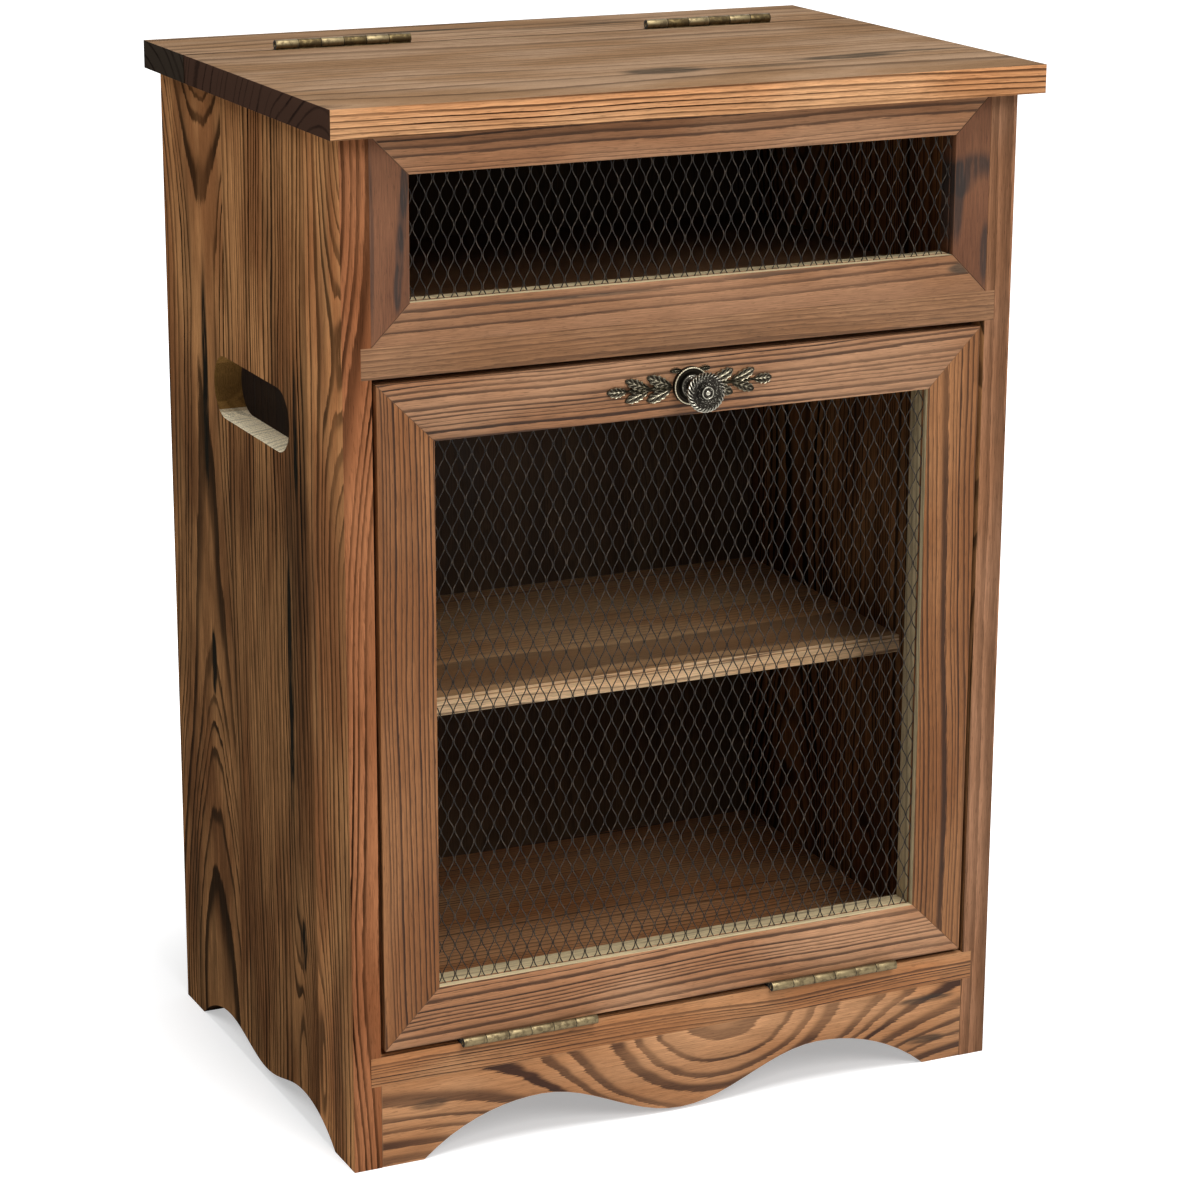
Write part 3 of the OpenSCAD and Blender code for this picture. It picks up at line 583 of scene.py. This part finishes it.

# %% [markdown]
# ## The lid and its strip
# Both are cut from one greyish-brown board with long grain. Their ends are scorched almost
# black, as are the two edges that meet in the seam. Their outer long edges are painted
# paler with close dark lines: painted light, bright stripes for the light those edges catch.

# %% The lid and the strip
TOP = dict(pale=paint(138, 113, 90), warm=paint(122, 95, 70), dark=paint(58, 44, 34),
           burnt=paint(48, 45, 39), end=paint(64, 46, 37), gloss=0.0)
# painted light: paler paints for the lid's and strip's outer long edges
PAINTED_LIGHT_EDGE = dict(pale=paint(206, 156, 112), warm=paint(188, 132, 88), dark=paint(52, 28, 17),
            line=1.0, width=0.42, ring=2.8, burn=0.0, smoke=0.0, wander=6, ripple=0.7,
            taper=0.004, uneven=0.3, fray=0.2)
SEAM = dict(pale=paint(42, 30, 22), warm=paint(34, 24, 18), line=0.3)
board("lid_board", "x", "z", heart=(-96, 60), ring=8.0, taper=0.006, wander=12, ripple=0.6,
      line=0.55, width=0.22, burn=0.3, seed=7.0, reach=0.3, edge=PAINTED_LIGHT_EDGE, far=SEAM,
      stain=[((6, -48, 0), (26, 12, 900), 0.8), ((120, -38, 0), (34, 8, 900), 0.75),
             ((160, -30, 0), (40, 4, 900), 0.7), ((60, -52, 0), (40, 4, 900), 0.55)], **TOP)
board("top_strip", "x", "z", heart=(60, 90), ring=6.0, taper=0.02, wander=12, ripple=0.6,
      line=0.5, burn=0.6, seed=12.0, reach=0.3, edge=SEAM, far=PAINTED_LIGHT_EDGE,
      stain=[((-52, 8, 0), (46, 4, 900), 0.75), ((40, -8, 0), (60, 3, 900), 0.5)],
      **{**TOP, "end": paint(50, 43, 36)})

# %% [markdown]
# ## The two frames
# Window and door are mitred frames of narrow stock with straight close grain. The walls
# behind the net were grooved and cut after scorching, and stay bare, except the window's
# upright walls: they keep the stiles' dark wood as painted shade.

# %% The window frame and the door frame
RAW = paint(240, 222, 184)
RAIL = dict(pale=paint(176, 132, 98), warm=paint(156, 109, 75), dark=paint(40, 23, 15),
            burnt=paint(62, 54, 44), end=paint(58, 38, 27), raw=RAW, sawn=paint(186, 168, 132),
            width=0.38)
# painted shade: the stiles are painted darker than the rails, for the light from above that falls
# less on upright members
STILE = dict(RAIL, pale=paint(150, 103, 66), warm=paint(130, 83, 48), dark=paint(42, 23, 13),
             burnt=paint(48, 42, 36))
WINDOW = dict(RAIL, pale=paint(154, 113, 83), warm=paint(134, 94, 64))
SMALL = dict(STILE, pale=paint(122, 82, 58), warm=paint(102, 65, 45), burnt=paint(50, 42, 38),
             smoke=0.0, line=0.25, burn=0.0, heart=(14, 30), ring=9.0)


def reveal_of(net, upright=True):
    """The faces that look into the opening round a net, as a test on centres and normals.
    Without upright only the walls below and above the net are bare; the upright walls then keep
    the board's dark wood as painted shade."""
    low, high = (np.array(corner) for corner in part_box(net))
    middle = (low + high) / 2
    half = (high - low) / 2 - 0.0035

    def test(where, normal):
        off = where - middle
        inward = -(off * normal)
        flat = np.abs(normal) > 0.95
        near_x = (np.abs(np.abs(off[:, 0]) - half[0]) < 0.001) & (inward[:, 0] > 0) & flat[:, 0]
        near_z = (np.abs(np.abs(off[:, 2]) - half[2]) < 0.001) & (inward[:, 2] > 0) & flat[:, 2]
        return near_x & upright | near_z
    return test


for name, grain, finish, spec in (
        ("window_rail_top", "x", RAIL, dict(heart=(90, 60), ring=2.9, seed=21.0, line=0.85,
                                            burn=0.1)),
        ("window_rail_bottom", "x", WINDOW, dict(
            heart=(60, 30), ring=6.5, seed=22.0, line=0.8, burn=0.6,
            stain=[((160, 3, 0), (9, 3, 500), 0.8), ((-60, 6, 0), (60, 1, 500), 0.6)])),
        ("window_stile_left", "z", SMALL, dict(
            seed=23.0, stain=[((26, -8.0, 0), (16, 2.4, 500), 0.9),
                              ((9, -6.6, 0), (16, 2.6, 500), 0.7),
                              ((-8, -5.2, 0), (16, 2.6, 500), 0.7),
                              ((-25, -3.8, 0), (13, 2.2, 500), 0.9),
                              ((0, 10, 0), (50, 2.0, 500), 0.6)])),
        ("window_stile_right", "z", SMALL, dict(
            seed=24.0, stain=[((10, -2, 0), (13, 18, 500), 0.85), ((-4, 9, 0), (24, 5, 500), 0.8),
                              ((-9, -7, 0), (21, 12, 500), -1.0),
                              ((-32, -9, 0), (18, 3.4, 500), 0.8)]))):
    # painted shade: the window's upright reveal walls keep the stiles' dark wood instead of bare
    # wood
    board(name, grain, "-y", taper=0.01, wander=4, ripple=0.8, bevel=0.4,
          bare=reveal_of("window_net", upright=False), **spec, **finish)
for name, grain, finish, spec in (
        ("door_rail_top", "x", dict(RAIL, pale=paint(168, 126, 94), warm=paint(148, 104, 72)),
         dict(heart=(100, 70), ring=2.7, seed=31.0)),
        ("door_rail_bottom", "x", RAIL, dict(heart=(90, 60), ring=2.6, seed=32.0)),
        ("door_stile_left", "z", STILE, dict(heart=(120, 60), ring=2.4, seed=33.0)),
        ("door_stile_right", "z", STILE, dict(heart=(110, 60), ring=2.7, seed=34.0))):
    board(name, grain, "-y", taper=0.01, wander=5, ripple=0.9, line=0.95, burn=0.0, bevel=0.4,
          bare=reveal_of("door_net"), **spec, **finish)

# %% [markdown]
# ## Expanded wire net
# The net is a steel sheet that was slit and pulled open. Its strands snake from side to
# side, and each touches its neighbour where the sheet wasn't slit. So strand number k is a
# cosine wave of height, and the next strand is the same wave turned over. All strands are
# worked out at once as an array of points, and a small diamond is carried along each.

# %% The nets
STRAND, DIAMOND_W, DIAMOND_H = (0.00062, 0.0008), 0.0075, 0.016


def net_mesh(name, low, high, steps_per_diamond=12):
    """Strand k stands at x = (k + 1/2) a + (a/2 - s/2)(-1)^k cos(pi z / b), where a is half
    a diamond's width, b half its height and s the strand's width."""
    half_w, half_h = DIAMOND_W / 2, DIAMOND_H / 2
    count = int(round((high[0] - low[0]) / half_w))
    levels = int(round((high[2] - low[2]) / DIAMOND_H * steps_per_diamond)) + 1
    z = np.linspace(low[2], high[2], levels)
    k = np.arange(count)[:, None]
    swing = (half_w - STRAND[0] * 0.9) / 2
    phase = math.pi * (z - low[2])[None, :] / half_h
    x = low[0] + (k + 0.5) * half_w + swing * (-1.0) ** k * np.cos(phase)
    slope = -swing * (-1.0) ** k * math.pi / half_h * np.sin(phase)
    long = np.sqrt(1 + slope ** 2)
    y = np.full_like(x, (low[1] + high[1]) / 2)
    centre = np.stack([x, y, np.broadcast_to(z, x.shape)], -1)
    side = np.stack([1 / long, np.zeros_like(x), -slope / long], -1) * STRAND[0] / 2
    front = np.array([0, STRAND[1] / 2, 0])
    ring = np.stack([centre + side, centre + front, centre - side, centre - front], 2)
    verts = ring.reshape(-1, 3)
    base = (np.arange(count)[:, None] * levels + np.arange(levels - 1)[None, :]) * 4
    quads = []
    for i in range(4):
        j = (i + 1) % 4
        quads.append(np.stack([base + i, base + j, base + j + 4, base + i + 4], -1))
    faces = np.stack(quads, 2).reshape(-1, 4)
    first = np.arange(count) * levels * 4
    last = first + (levels - 1) * 4
    caps = np.concatenate([first[:, None] + [3, 2, 1, 0], last[:, None] + [0, 1, 2, 3]])
    return mesh_from(name, verts, np.concatenate([faces, caps]))


def mesh_from(name, verts, quads):
    """Puts arrays of points and four-sided faces into a new mesh."""
    mesh = bpy.data.meshes.new(name)
    mesh.vertices.add(len(verts))
    mesh.vertices.foreach_set("co", np.asarray(verts, np.float32).ravel())
    mesh.loops.add(quads.size)
    mesh.loops.foreach_set("vertex_index", quads.astype(np.int32).ravel())
    mesh.polygons.add(len(quads))
    mesh.polygons.foreach_set("loop_start", np.arange(len(quads), dtype=np.int32) * 4)
    mesh.update(calc_edges=True)
    mesh.validate()
    mesh.polygons.foreach_set("use_smooth", np.ones(len(mesh.polygons), bool))
    return mesh


wire, t, shader = new_material("net_wire_paint")
half_mm = t.vector("MULTIPLY", t.millimetres(), (0.5, 0.5, 0.5))
# lighter patches on the wires: wear, and painted glints
worn = t.step(t.noise(half_mm, detail=3.0), 0.45, 0.7)
t.link(t.blend(worn, paint(30, 25, 21), paint(76, 66, 56)), shader.inputs["Base Color"])
t.link(t.sum("MULTIPLY_ADD", worn, 0.15, 0.35), shader.inputs["Roughness"])
shader.inputs["Specular IOR Level"].default_value = 0.22

for name in ("window_net", "door_net"):
    low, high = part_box(name)
    mesh = net_mesh(name + "_strands", low, high)
    mesh.materials.append(wire)
    piece = bpy.data.objects.new(name + "_strands", mesh)
    bpy.context.scene.collection.objects.link(piece)
    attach(piece, frame["nodes"][name]["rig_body"])
    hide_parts(name)
    print(name, len(mesh.polygons), "faces")

# %% [markdown]
# ## Old brass and bronze
# The hinges and the knob were cast or rolled, browned in a bath, and then rubbed so that
# whatever stands proud shines again. So the finish needs to know what stands proud: the
# cast pieces below carry their relief, worked out from the same formula as their shape. The
# bright paint on that relief is partly this rubbing and partly painted highlight. On a hinge,
# near-black painted shade at the knuckles' ends draws the gaps between them.

# %% The node group for browned and rubbed metal
def make_old_metal():
    """Bright share = raised + patches of noise; the dark part is rougher."""
    tree, t, ins, outs = new_group(
        "Browned metal",
        [("Vector", "Vector", None), ("Raised", "Float", 0.0), ("Patch", "Float", 0.25),
         ("Worn", "Float", 0.5), ("Dark", "Color", paint(60, 50, 34)),
         ("Bright", "Color", paint(180, 160, 112)), ("Rough", "Float", 0.5)],
        [("Color", "Color"), ("Roughness", "Float"), ("Height", "Float")])
    spots = t.add("VectorMath", {0: ins["Vector"], "Scale": ins["Patch"]}, operation="SCALE")
    patch = t.noise(spots, detail=4.0, rough=0.65)
    fine = t.noise(t.vector("MULTIPLY", ins["Vector"], (3.0, 3.0, 3.0)), detail=3.0)
    worn = t.step(patch, t.sum("MULTIPLY_ADD", ins["Worn"], -0.35, 0.72),
                  t.sum("MULTIPLY_ADD", ins["Worn"], -0.35, 0.9))
    share = t.sum("ADD", worn, t.sum("MULTIPLY", ins["Raised"], t.step(patch, 0.2, 0.5, 0.55, 1.0)),
                  clamp=True)
    colour = t.blend(share, ins["Dark"], ins["Bright"])
    colour = t.blend(t.step(fine, 0.55, 0.75, 0.0, 0.4), colour, ins["Dark"])
    t.link(colour, outs["Color"])
    t.link(t.sum("MULTIPLY_ADD", share, -0.18, ins["Rough"]), outs["Roughness"])
    t.link(t.sum("MULTIPLY_ADD", patch, 0.3, fine), outs["Height"])
    return tree


old_metal = make_old_metal()


def metal(name, layer=None, shine=1.0, bump=0.02, **values):
    """A metal, or moulded plastic where shine is 0, whose raised places a layer names."""
    material, t, shader = new_material(name)
    node = t.add("Group", {"Vector": t.millimetres()}, node_tree=old_metal).node
    if layer:
        t.link(t.add("Attribute", out=2, attribute_name=layer), node.inputs["Raised"])
    for key, value in values.items():
        node.inputs[key.capitalize()].default_value = value
    t.link(node.outputs["Color"], shader.inputs["Base Color"])
    t.link(node.outputs["Roughness"], shader.inputs["Roughness"])
    relief = t.add("Bump", {"Height": node.outputs["Height"], "Strength": 0.5,
                            "Distance": bump / MM})
    t.link(relief, shader.inputs["Normal"])
    shader.inputs["Metallic"].default_value = shine
    return material


brass = metal("antique_brass", dark=paint(92, 80, 59), bright=paint(122, 108, 80),
              patch=0.25, worn=1.0, rough=0.62, bump=0.03)
# painted shade: a darker copy of the same brass for the lid's hinges, which the lamp over the lid
# lights more
shaded_brass = metal("brass_with_painted_shade", dark=paint(72, 60, 40), bright=paint(98, 84, 56),
              patch=0.25, worn=0.8, rough=0.62, bump=0.03)
# painted shade: a near-black, dull finish on the knuckles' ends that stands in for the shade in the
# gaps between them
gap_shade = metal("painted_shade_in_the_gaps", shine=0.0, dark=paint(26, 21, 14), bright=paint(40, 32, 22),
              rough=0.9)
# the bright colour on the relief is partly rubbed wear and partly painted highlight
bronze = metal("antique_bronze", "relief", dark=paint(34, 31, 27), bright=paint(172, 167, 152),
               patch=1.3, worn=0.5, rough=0.44, bump=0.08)
dull_bronze = metal("antique_bronze_leaves", "relief", dark=paint(30, 26, 21), worn=0.15,
                    bright=paint(190, 180, 154), patch=1.3, rough=0.46, bump=0.08)
steel = metal("zinc_steel", dark=paint(140, 140, 136), bright=paint(188, 188, 182), rough=0.4)
plastic = metal("brown_plastic", shine=0.0, dark=paint(58, 40, 28), bright=paint(70, 50, 36))

# %% [markdown]
# ## Hinges and small parts
# A hinge is browned brass with painted shade in its gaps. A knuckle's end looks along the pin,
# so each face's direction says whether it takes the painted shade. The pins, screws, brads and
# the catch keep their CAD shape, because hardly any of them shows, and only get a finish.

# %% Hinges with rubbed edges, and the small parts
END_FROM = 0.35  # how squarely a face looks along the pin to be a knuckle's end
for name in [n for n, slot in slots.items() if slot == "hinge_brass" and "_leaf_" in n
             and "screws" not in n]:
    leaf_piece = dress(name, 0.3)
    # the lid's hinges take the darker copy of the brass, as painted shade
    leaf_piece.data.materials.append(shaded_brass if name.startswith("lid") else brass)
    leaf_piece.data.materials.append(gap_shade)
    _, normal = face_arrays(leaf_piece)
    # faces that look along the pin take the painted shade of the gaps
    leaf_piece.data.polygons.foreach_set(
        "material_index", (np.abs(normal[:, 0]) > END_FROM).astype(np.int32))

dowel, t, shader = new_material("dowel_wood")
streak = t.noise(t.vector("MULTIPLY", t.millimetres(), (2.0, 2.0, 0.05)), detail=2.0)
t.link(t.blend(streak, paint(170, 130, 90), paint(196, 160, 118)), shader.inputs["Base Color"])

finishes = {"hinge_brass": brass, "knob_bronze": bronze, "bright_steel": steel,
            "catch_plastic": plastic}
for name, node in frame["nodes"].items():
    finish = dowel if name == "strip_dowels" else finishes.get(slots[name])
    if finish:
        node.data.materials.clear()
        node.data.materials.append(finish)
print("metals:", [m.name for m in (brass, shaded_brass, bronze, dull_bronze, steel)])

# %% [markdown]
# ## The cast knob
# The knob is turned round an axis that stands out of the door: a foot, a narrow neck and a
# wide dished head with a ringed button. Its rim has slanting flutes like a rope. The shape
# is a profile carried round the axis, and the flutes are a wave added along the profile's
# own outward direction, which turns with the height, so that the ridges lean.

# %% Surfaces from arrays
DOOR_FRONT = -0.1225
KNOB_Z = (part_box("knob_plate")[0].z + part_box("knob_plate")[1].z) / 2


def cast(points):
    """From plate coordinates in mm (right, up, out of the door) to the row frame in metres."""
    p = np.asarray(points, float) / MM
    return np.stack([p[..., 0], DOOR_FRONT - p[..., 2], KNOB_Z + p[..., 1]], -1)


def grid_quads(rows, columns, wrap):
    """The four-sided faces of a grid of points; wrap joins the last column to the first."""
    i, j = np.arange(rows - 1)[:, None], np.arange(columns if wrap else columns - 1)[None, :]
    k = (j + 1) % columns
    return np.stack([i * columns + j, i * columns + k, (i + 1) * columns + k,
                     (i + 1) * columns + j], -1).reshape(-1, 4)


def cast_piece(name, parts, replaced, finish):
    """Joins (points, faces, relief) parts, closes seams and poles, turns faces outwards."""
    shift = np.cumsum([0] + [len(p) for p, _, _ in parts[:-1]])
    verts = np.concatenate([p for p, _, _ in parts])
    quads = np.concatenate([q + n for (_, q, _), n in zip(parts, shift)])
    mesh = mesh_from(name, verts, quads)
    layer = mesh.attributes.new("relief", "FLOAT", "POINT")
    layer.data.foreach_set("value", np.concatenate([r for _, _, r in parts]).astype(np.float32))
    work = bmesh.new()
    work.from_mesh(mesh)
    bmesh.ops.remove_doubles(work, verts=work.verts, dist=2e-7)
    bmesh.ops.dissolve_degenerate(work, edges=work.edges, dist=1e-8)
    bmesh.ops.recalc_face_normals(work, faces=work.faces)
    for edge in work.edges:
        edge.smooth = edge.is_manifold and edge.calc_face_angle(0) < math.radians(50)
    work.to_mesh(mesh)
    work.free()
    mesh.materials.append(finish)
    piece = bpy.data.objects.new(name, mesh)
    bpy.context.scene.collection.objects.link(piece)
    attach(piece, "door")
    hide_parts(replaced)
    print(name, len(mesh.vertices), "points")
    return piece


def lathe(outline, rows, columns, flutes, wave, window, lean=0.0, soft=3):
    """Point (s, a): outline(s) + n(s) wave W(s) cos(flutes (a - lean s)), turned by a. The
    outline is (radius, height) in mm, softened over a few rows, n is its outward direction,
    and W rises and falls in straight ramps over the window's four lengths."""
    outline = np.asarray(outline, float)
    length = np.concatenate([[0], np.cumsum(np.hypot(*np.diff(outline, axis=0).T))])
    s = np.linspace(0, length[-1], rows)
    r, h = (np.interp(s, length, outline[:, i]) for i in (0, 1))
    kernel = np.ones(soft) / soft
    for line in (r, h):
        padded = np.pad(line, soft // 2, mode="edge")
        line[1:-1] = np.convolve(padded, kernel, "valid")[1:-1]
    dr, dh = np.gradient(r), np.gradient(h)
    size = np.hypot(dr, dh) + 1e-9
    weight = np.interp(s, window, (0, 1, 1, 0))
    a = np.linspace(0, 2 * math.pi, columns, endpoint=False)[None, :]
    crest = np.cos(flutes * (a - lean * s[:, None]))
    push = wave * weight[:, None] * crest
    rr = r[:, None] + push * (dh / size)[:, None]
    hh = h[:, None] - push * (dr / size)[:, None]
    points = np.stack([rr * np.cos(a), rr * np.sin(a), hh], -1)
    return r, h, weight, crest, points


# %% [markdown]
# ## The knob
# A cast knob with a fluted rim and a ringed button is round about one axis, so its outline
# is turned by a formula. The flutes are a cosine along the angle that leans a little, so
# that the rim looks like rope. What stands proud is kept as relief, which the bronze paints
# bright: partly rubbed wear and partly painted highlight.

# %% The knob
KNOB = [(0, 2.4), (6, 2.4), (6, 3.5), (4.5, 4.9), (3.9, 7.4), (4.3, 13.2), (6, 15.2),
        (9.2, 17.2), (10.1, 18.4), (9.9, 19.7), (8.8, 20.3), (6.6, 19.9), (4.9, 19.2),
        (3.6, 19.1), (3.5, 20.6), (3.2, 21.2), (2.8, 21.2), (2.5, 20.5), (1.6, 20.4),
        (1.3, 21.0), (1.0, 21.5), (0.7, 21.5), (0.5, 21.1), (0, 21.1)]
r, h, weight, crest, points = lathe(KNOB, rows=170, columns=300, flutes=30, wave=0.6, lean=0.1,
                                    window=(22.0, 23.6, 27.6, 28.6))
# the flutes' crests and the button's rings take the bright paint: rubbed wear and painted highlight
ridges = weight[:, None] * np.clip(crest, 0, 1)
rings = np.clip((h - 20.9) * 3, 0, 1) * (r < 4.4) + 0.4 * (np.abs(h - 3.2) < 0.5)
relief = np.maximum(ridges, rings[:, None] * np.ones_like(crest))
cast_piece("door_knob_cast",
           [(cast(points).reshape(-1, 3), grid_quads(*crest.shape, True), relief.ravel())],
           "door_knob", bronze)

# %% [markdown]
# ## The leaf plate
# Behind the knob lies a cast plate: a round boss with two raised rings, and on each side a
# stem with leaves. A leaf is a surface of two parameters, along its midrib and across it.
# Its margin and midrib stand proud, slanting veins run between them, and its edge is
# notched. The cross-section is a closed loop, so that the leaf is a solid.

# %% One leaf, and a stem
def leaf(root, angle, length, width, bend=0.0, rows=41, columns=19):
    """Point (s, t): midrib(s) + t w(s) sideways, at height 0.2 + sin(pi s)^0.5 x
    (0.7 + |t|^6 + 0.9 rib + 0.7 veins). The half width w is width/2 x sin(pi s^1.3)^0.6 with
    notches, and the midrib turns by bend degrees."""
    s = np.linspace(0, 1, rows)
    heading = math.radians(angle) + math.radians(bend) * s
    step = length / (rows - 1)
    mid = np.stack([np.cumsum(np.cos(heading)), np.cumsum(np.sin(heading))], -1) * step
    mid = mid - mid[0] + np.array(root)
    side = np.stack([-np.sin(heading), np.cos(heading)], -1)
    half = width / 2 * np.sin(math.pi * s ** 1.3) ** 0.6 * (1 + 0.1 * np.cos(10 * math.pi * s))
    t = np.linspace(-1, 1, columns)[None, :]
    plan = mid[:, None, :] + side[:, None, :] * (t * half[:, None])[..., None]
    body = np.sin(math.pi * np.clip(s, 0.02, 0.98))[:, None] ** 0.5
    rib = np.exp(-(t / 0.14) ** 2)
    margin = np.abs(t) ** 6
    vein = (0.5 + 0.5 * np.cos(2 * math.pi * (5 * s[:, None] - 1.3 * np.abs(t)))) ** 2
    inner = (1 - margin) * (1 - rib)
    height = body * (0.7 + 1.0 * margin + 0.9 * rib + 0.7 * vein * inner) + 0.2
    # rims, midribs and veins take the bright paint: rubbed wear and painted highlight
    relief = np.clip(np.maximum(0.8 * rib ** 2, np.abs(t) ** 14), 0.25 * vein * inner, 1)
    top = np.concatenate([plan, height[..., None]], -1)
    foot = np.concatenate([plan[:, ::-1], np.zeros((rows, columns, 1))], -1)
    loop = np.concatenate([top, foot], 1)
    glow = np.concatenate([relief * body, np.zeros((rows, columns))], 1)
    ends = [np.arange(2 * columns) + row * 2 * columns for row in (0, rows - 1)]
    caps = [np.stack([e[:columns - 1], e[1:columns], e[::-1][1:columns], e[::-1][:columns - 1]], -1)
            for e in ends]
    quads = np.concatenate([grid_quads(rows, 2 * columns, True), *caps])
    return cast(loop).reshape(-1, 3), quads, glow.ravel()


sprays = []
for turned_way in (1, -1):
    shapes = [((35.8, 0.0), 0, 11.6, 5.2, 0), ((4.6, 8.2), 12, 7.0, 2.6, -24)]
    for way in (1, -1):
        shapes += [((23.0, way * 0.5), way * 15, 15.0, 5.0, way * 10),
                   ((10.4, way * 0.8), way * 17, 15.4, 5.6, way * 8)]
    shapes.append(((6.0, 0.0), 0, 33.0, 2.0, 0))
    for root, angle, length, width, bend in shapes:
        points, quads, glow = leaf(root, angle, length, width, bend)
        points[:, 0] *= turned_way
        sprays.append((points, quads, glow))
BOSS = [(0, 0), (10, 0), (10, 1.6), (9.9, 2.6), (9.5, 3.1), (9.1, 2.8), (8.6, 2.0), (8.1, 2.2),
        (7.7, 2.5), (7.3, 2.2), (6.7, 1.9), (0, 2.35)]
r, h, _, crest, points = lathe(BOSS, rows=90, columns=180, flutes=44, wave=0.12,
                               window=(11.5, 12.5, 13.5, 14.5))
# only the boss's outer rim takes the bright paint, partly as painted highlight
relief = (np.clip((h - 2.35) * 1.6, 0, 1) * (r > 8.7))[:, None] * np.ones_like(crest)
sprays.append((cast(points).reshape(-1, 3), grid_quads(*crest.shape, True), relief.ravel()))
cast_piece("knob_plate_cast", sprays, "knob_plate", dull_bronze)

# %% [markdown]
# ## Studio: a white floor, three soft lamps and an even sky
# The photograph has a white ground with only a faint shadow. One large lamp hangs over the
# front of the lid, one stands far in front, a weak one lights the left side, and an even sky
# fills the rest. The camera and polished metal see floor and sky as plain white. The floor
# glows less close to the cabinet, so that it keeps the cabinet's shadow.

# %% Floor, sky and lamps
FLOOR_HALF = 30                       # metres from the middle to the floor's edge
FLOOR_GREY, SKY_GREY = 0.74, 0.38
GLOW_FROM, GLOW_TO, GLOW_LOW = 0.12, 0.6, 0.37   # metres, metres, and the glow that is left


def background_rays(t):
    """1 where the camera, a gloss or a clear material looks straight at a surface, else 0."""
    path = t.add("LightPath").node
    direct = t.sum("MAXIMUM", path.outputs["Is Camera Ray"], path.outputs["Is Glossy Ray"])
    return t.sum("MAXIMUM", direct, path.outputs["Is Transmission Ray"])


floor = bpy.data.objects.new("floor", mesh_from(
    "floor", np.array([(-1, -1, 0), (1, -1, 0), (1, 1, 0), (-1, 1, 0)], float) * FLOOR_HALF,
    np.array([[0, 1, 2, 3]])))
bpy.context.scene.collection.objects.link(floor)
ground, g, shader = new_material("studio_floor")
shader.inputs["Base Color"].default_value = (FLOOR_GREY, FLOOR_GREY, FLOOR_GREY, 1)
shader.inputs["Roughness"].default_value = 1.0
shader.inputs["Specular IOR Level"].default_value = 0.0
seen = background_rays(g)
shader.inputs["Emission Color"].default_value = (1, 1, 1, 1)
away = g.vector("LENGTH", g.add("TexCoord", out=3), out=1)
glow = g.step(away, GLOW_FROM, GLOW_TO, GLOW_LOW, 1.0)
g.link(g.sum("MULTIPLY", seen, glow), shader.inputs["Emission Strength"])
floor.data.materials.append(ground)

world = bpy.data.worlds.new("studio")
bpy.context.scene.world = world
world.use_nodes = True
w = Tree(world.node_tree)
sky = world.node_tree.nodes["Background"]
w.link(w.blend(background_rays(w), (SKY_GREY, SKY_GREY, SKY_GREY, 1), (1, 1, 1, 1)),
       sky.inputs["Color"])


def lamp(name, place, size, power, target=(0, 0, 0.3)):
    """A square lamp, turned towards a point."""
    light = bpy.data.objects.new(name, bpy.data.lights.new(name, "AREA"))
    bpy.context.scene.collection.objects.link(light)
    light.data.size, light.data.energy = size, power
    light.location = place
    light.rotation_euler = (Vector(target) - light.location).to_track_quat("-Z", "Y").to_euler()
    print(name, "lamp,", power, "watts")


lamp("key", (0.25, -0.85, 3.1), 1.4, 84)
lamp("front", (0.3, -2.7, 2.3), 1.4, 46)
lamp("fill", (-1.5, 0.4, 2.2), 1.2, 15)

# %% Bring the scene up to date
bpy.context.view_layer.update()
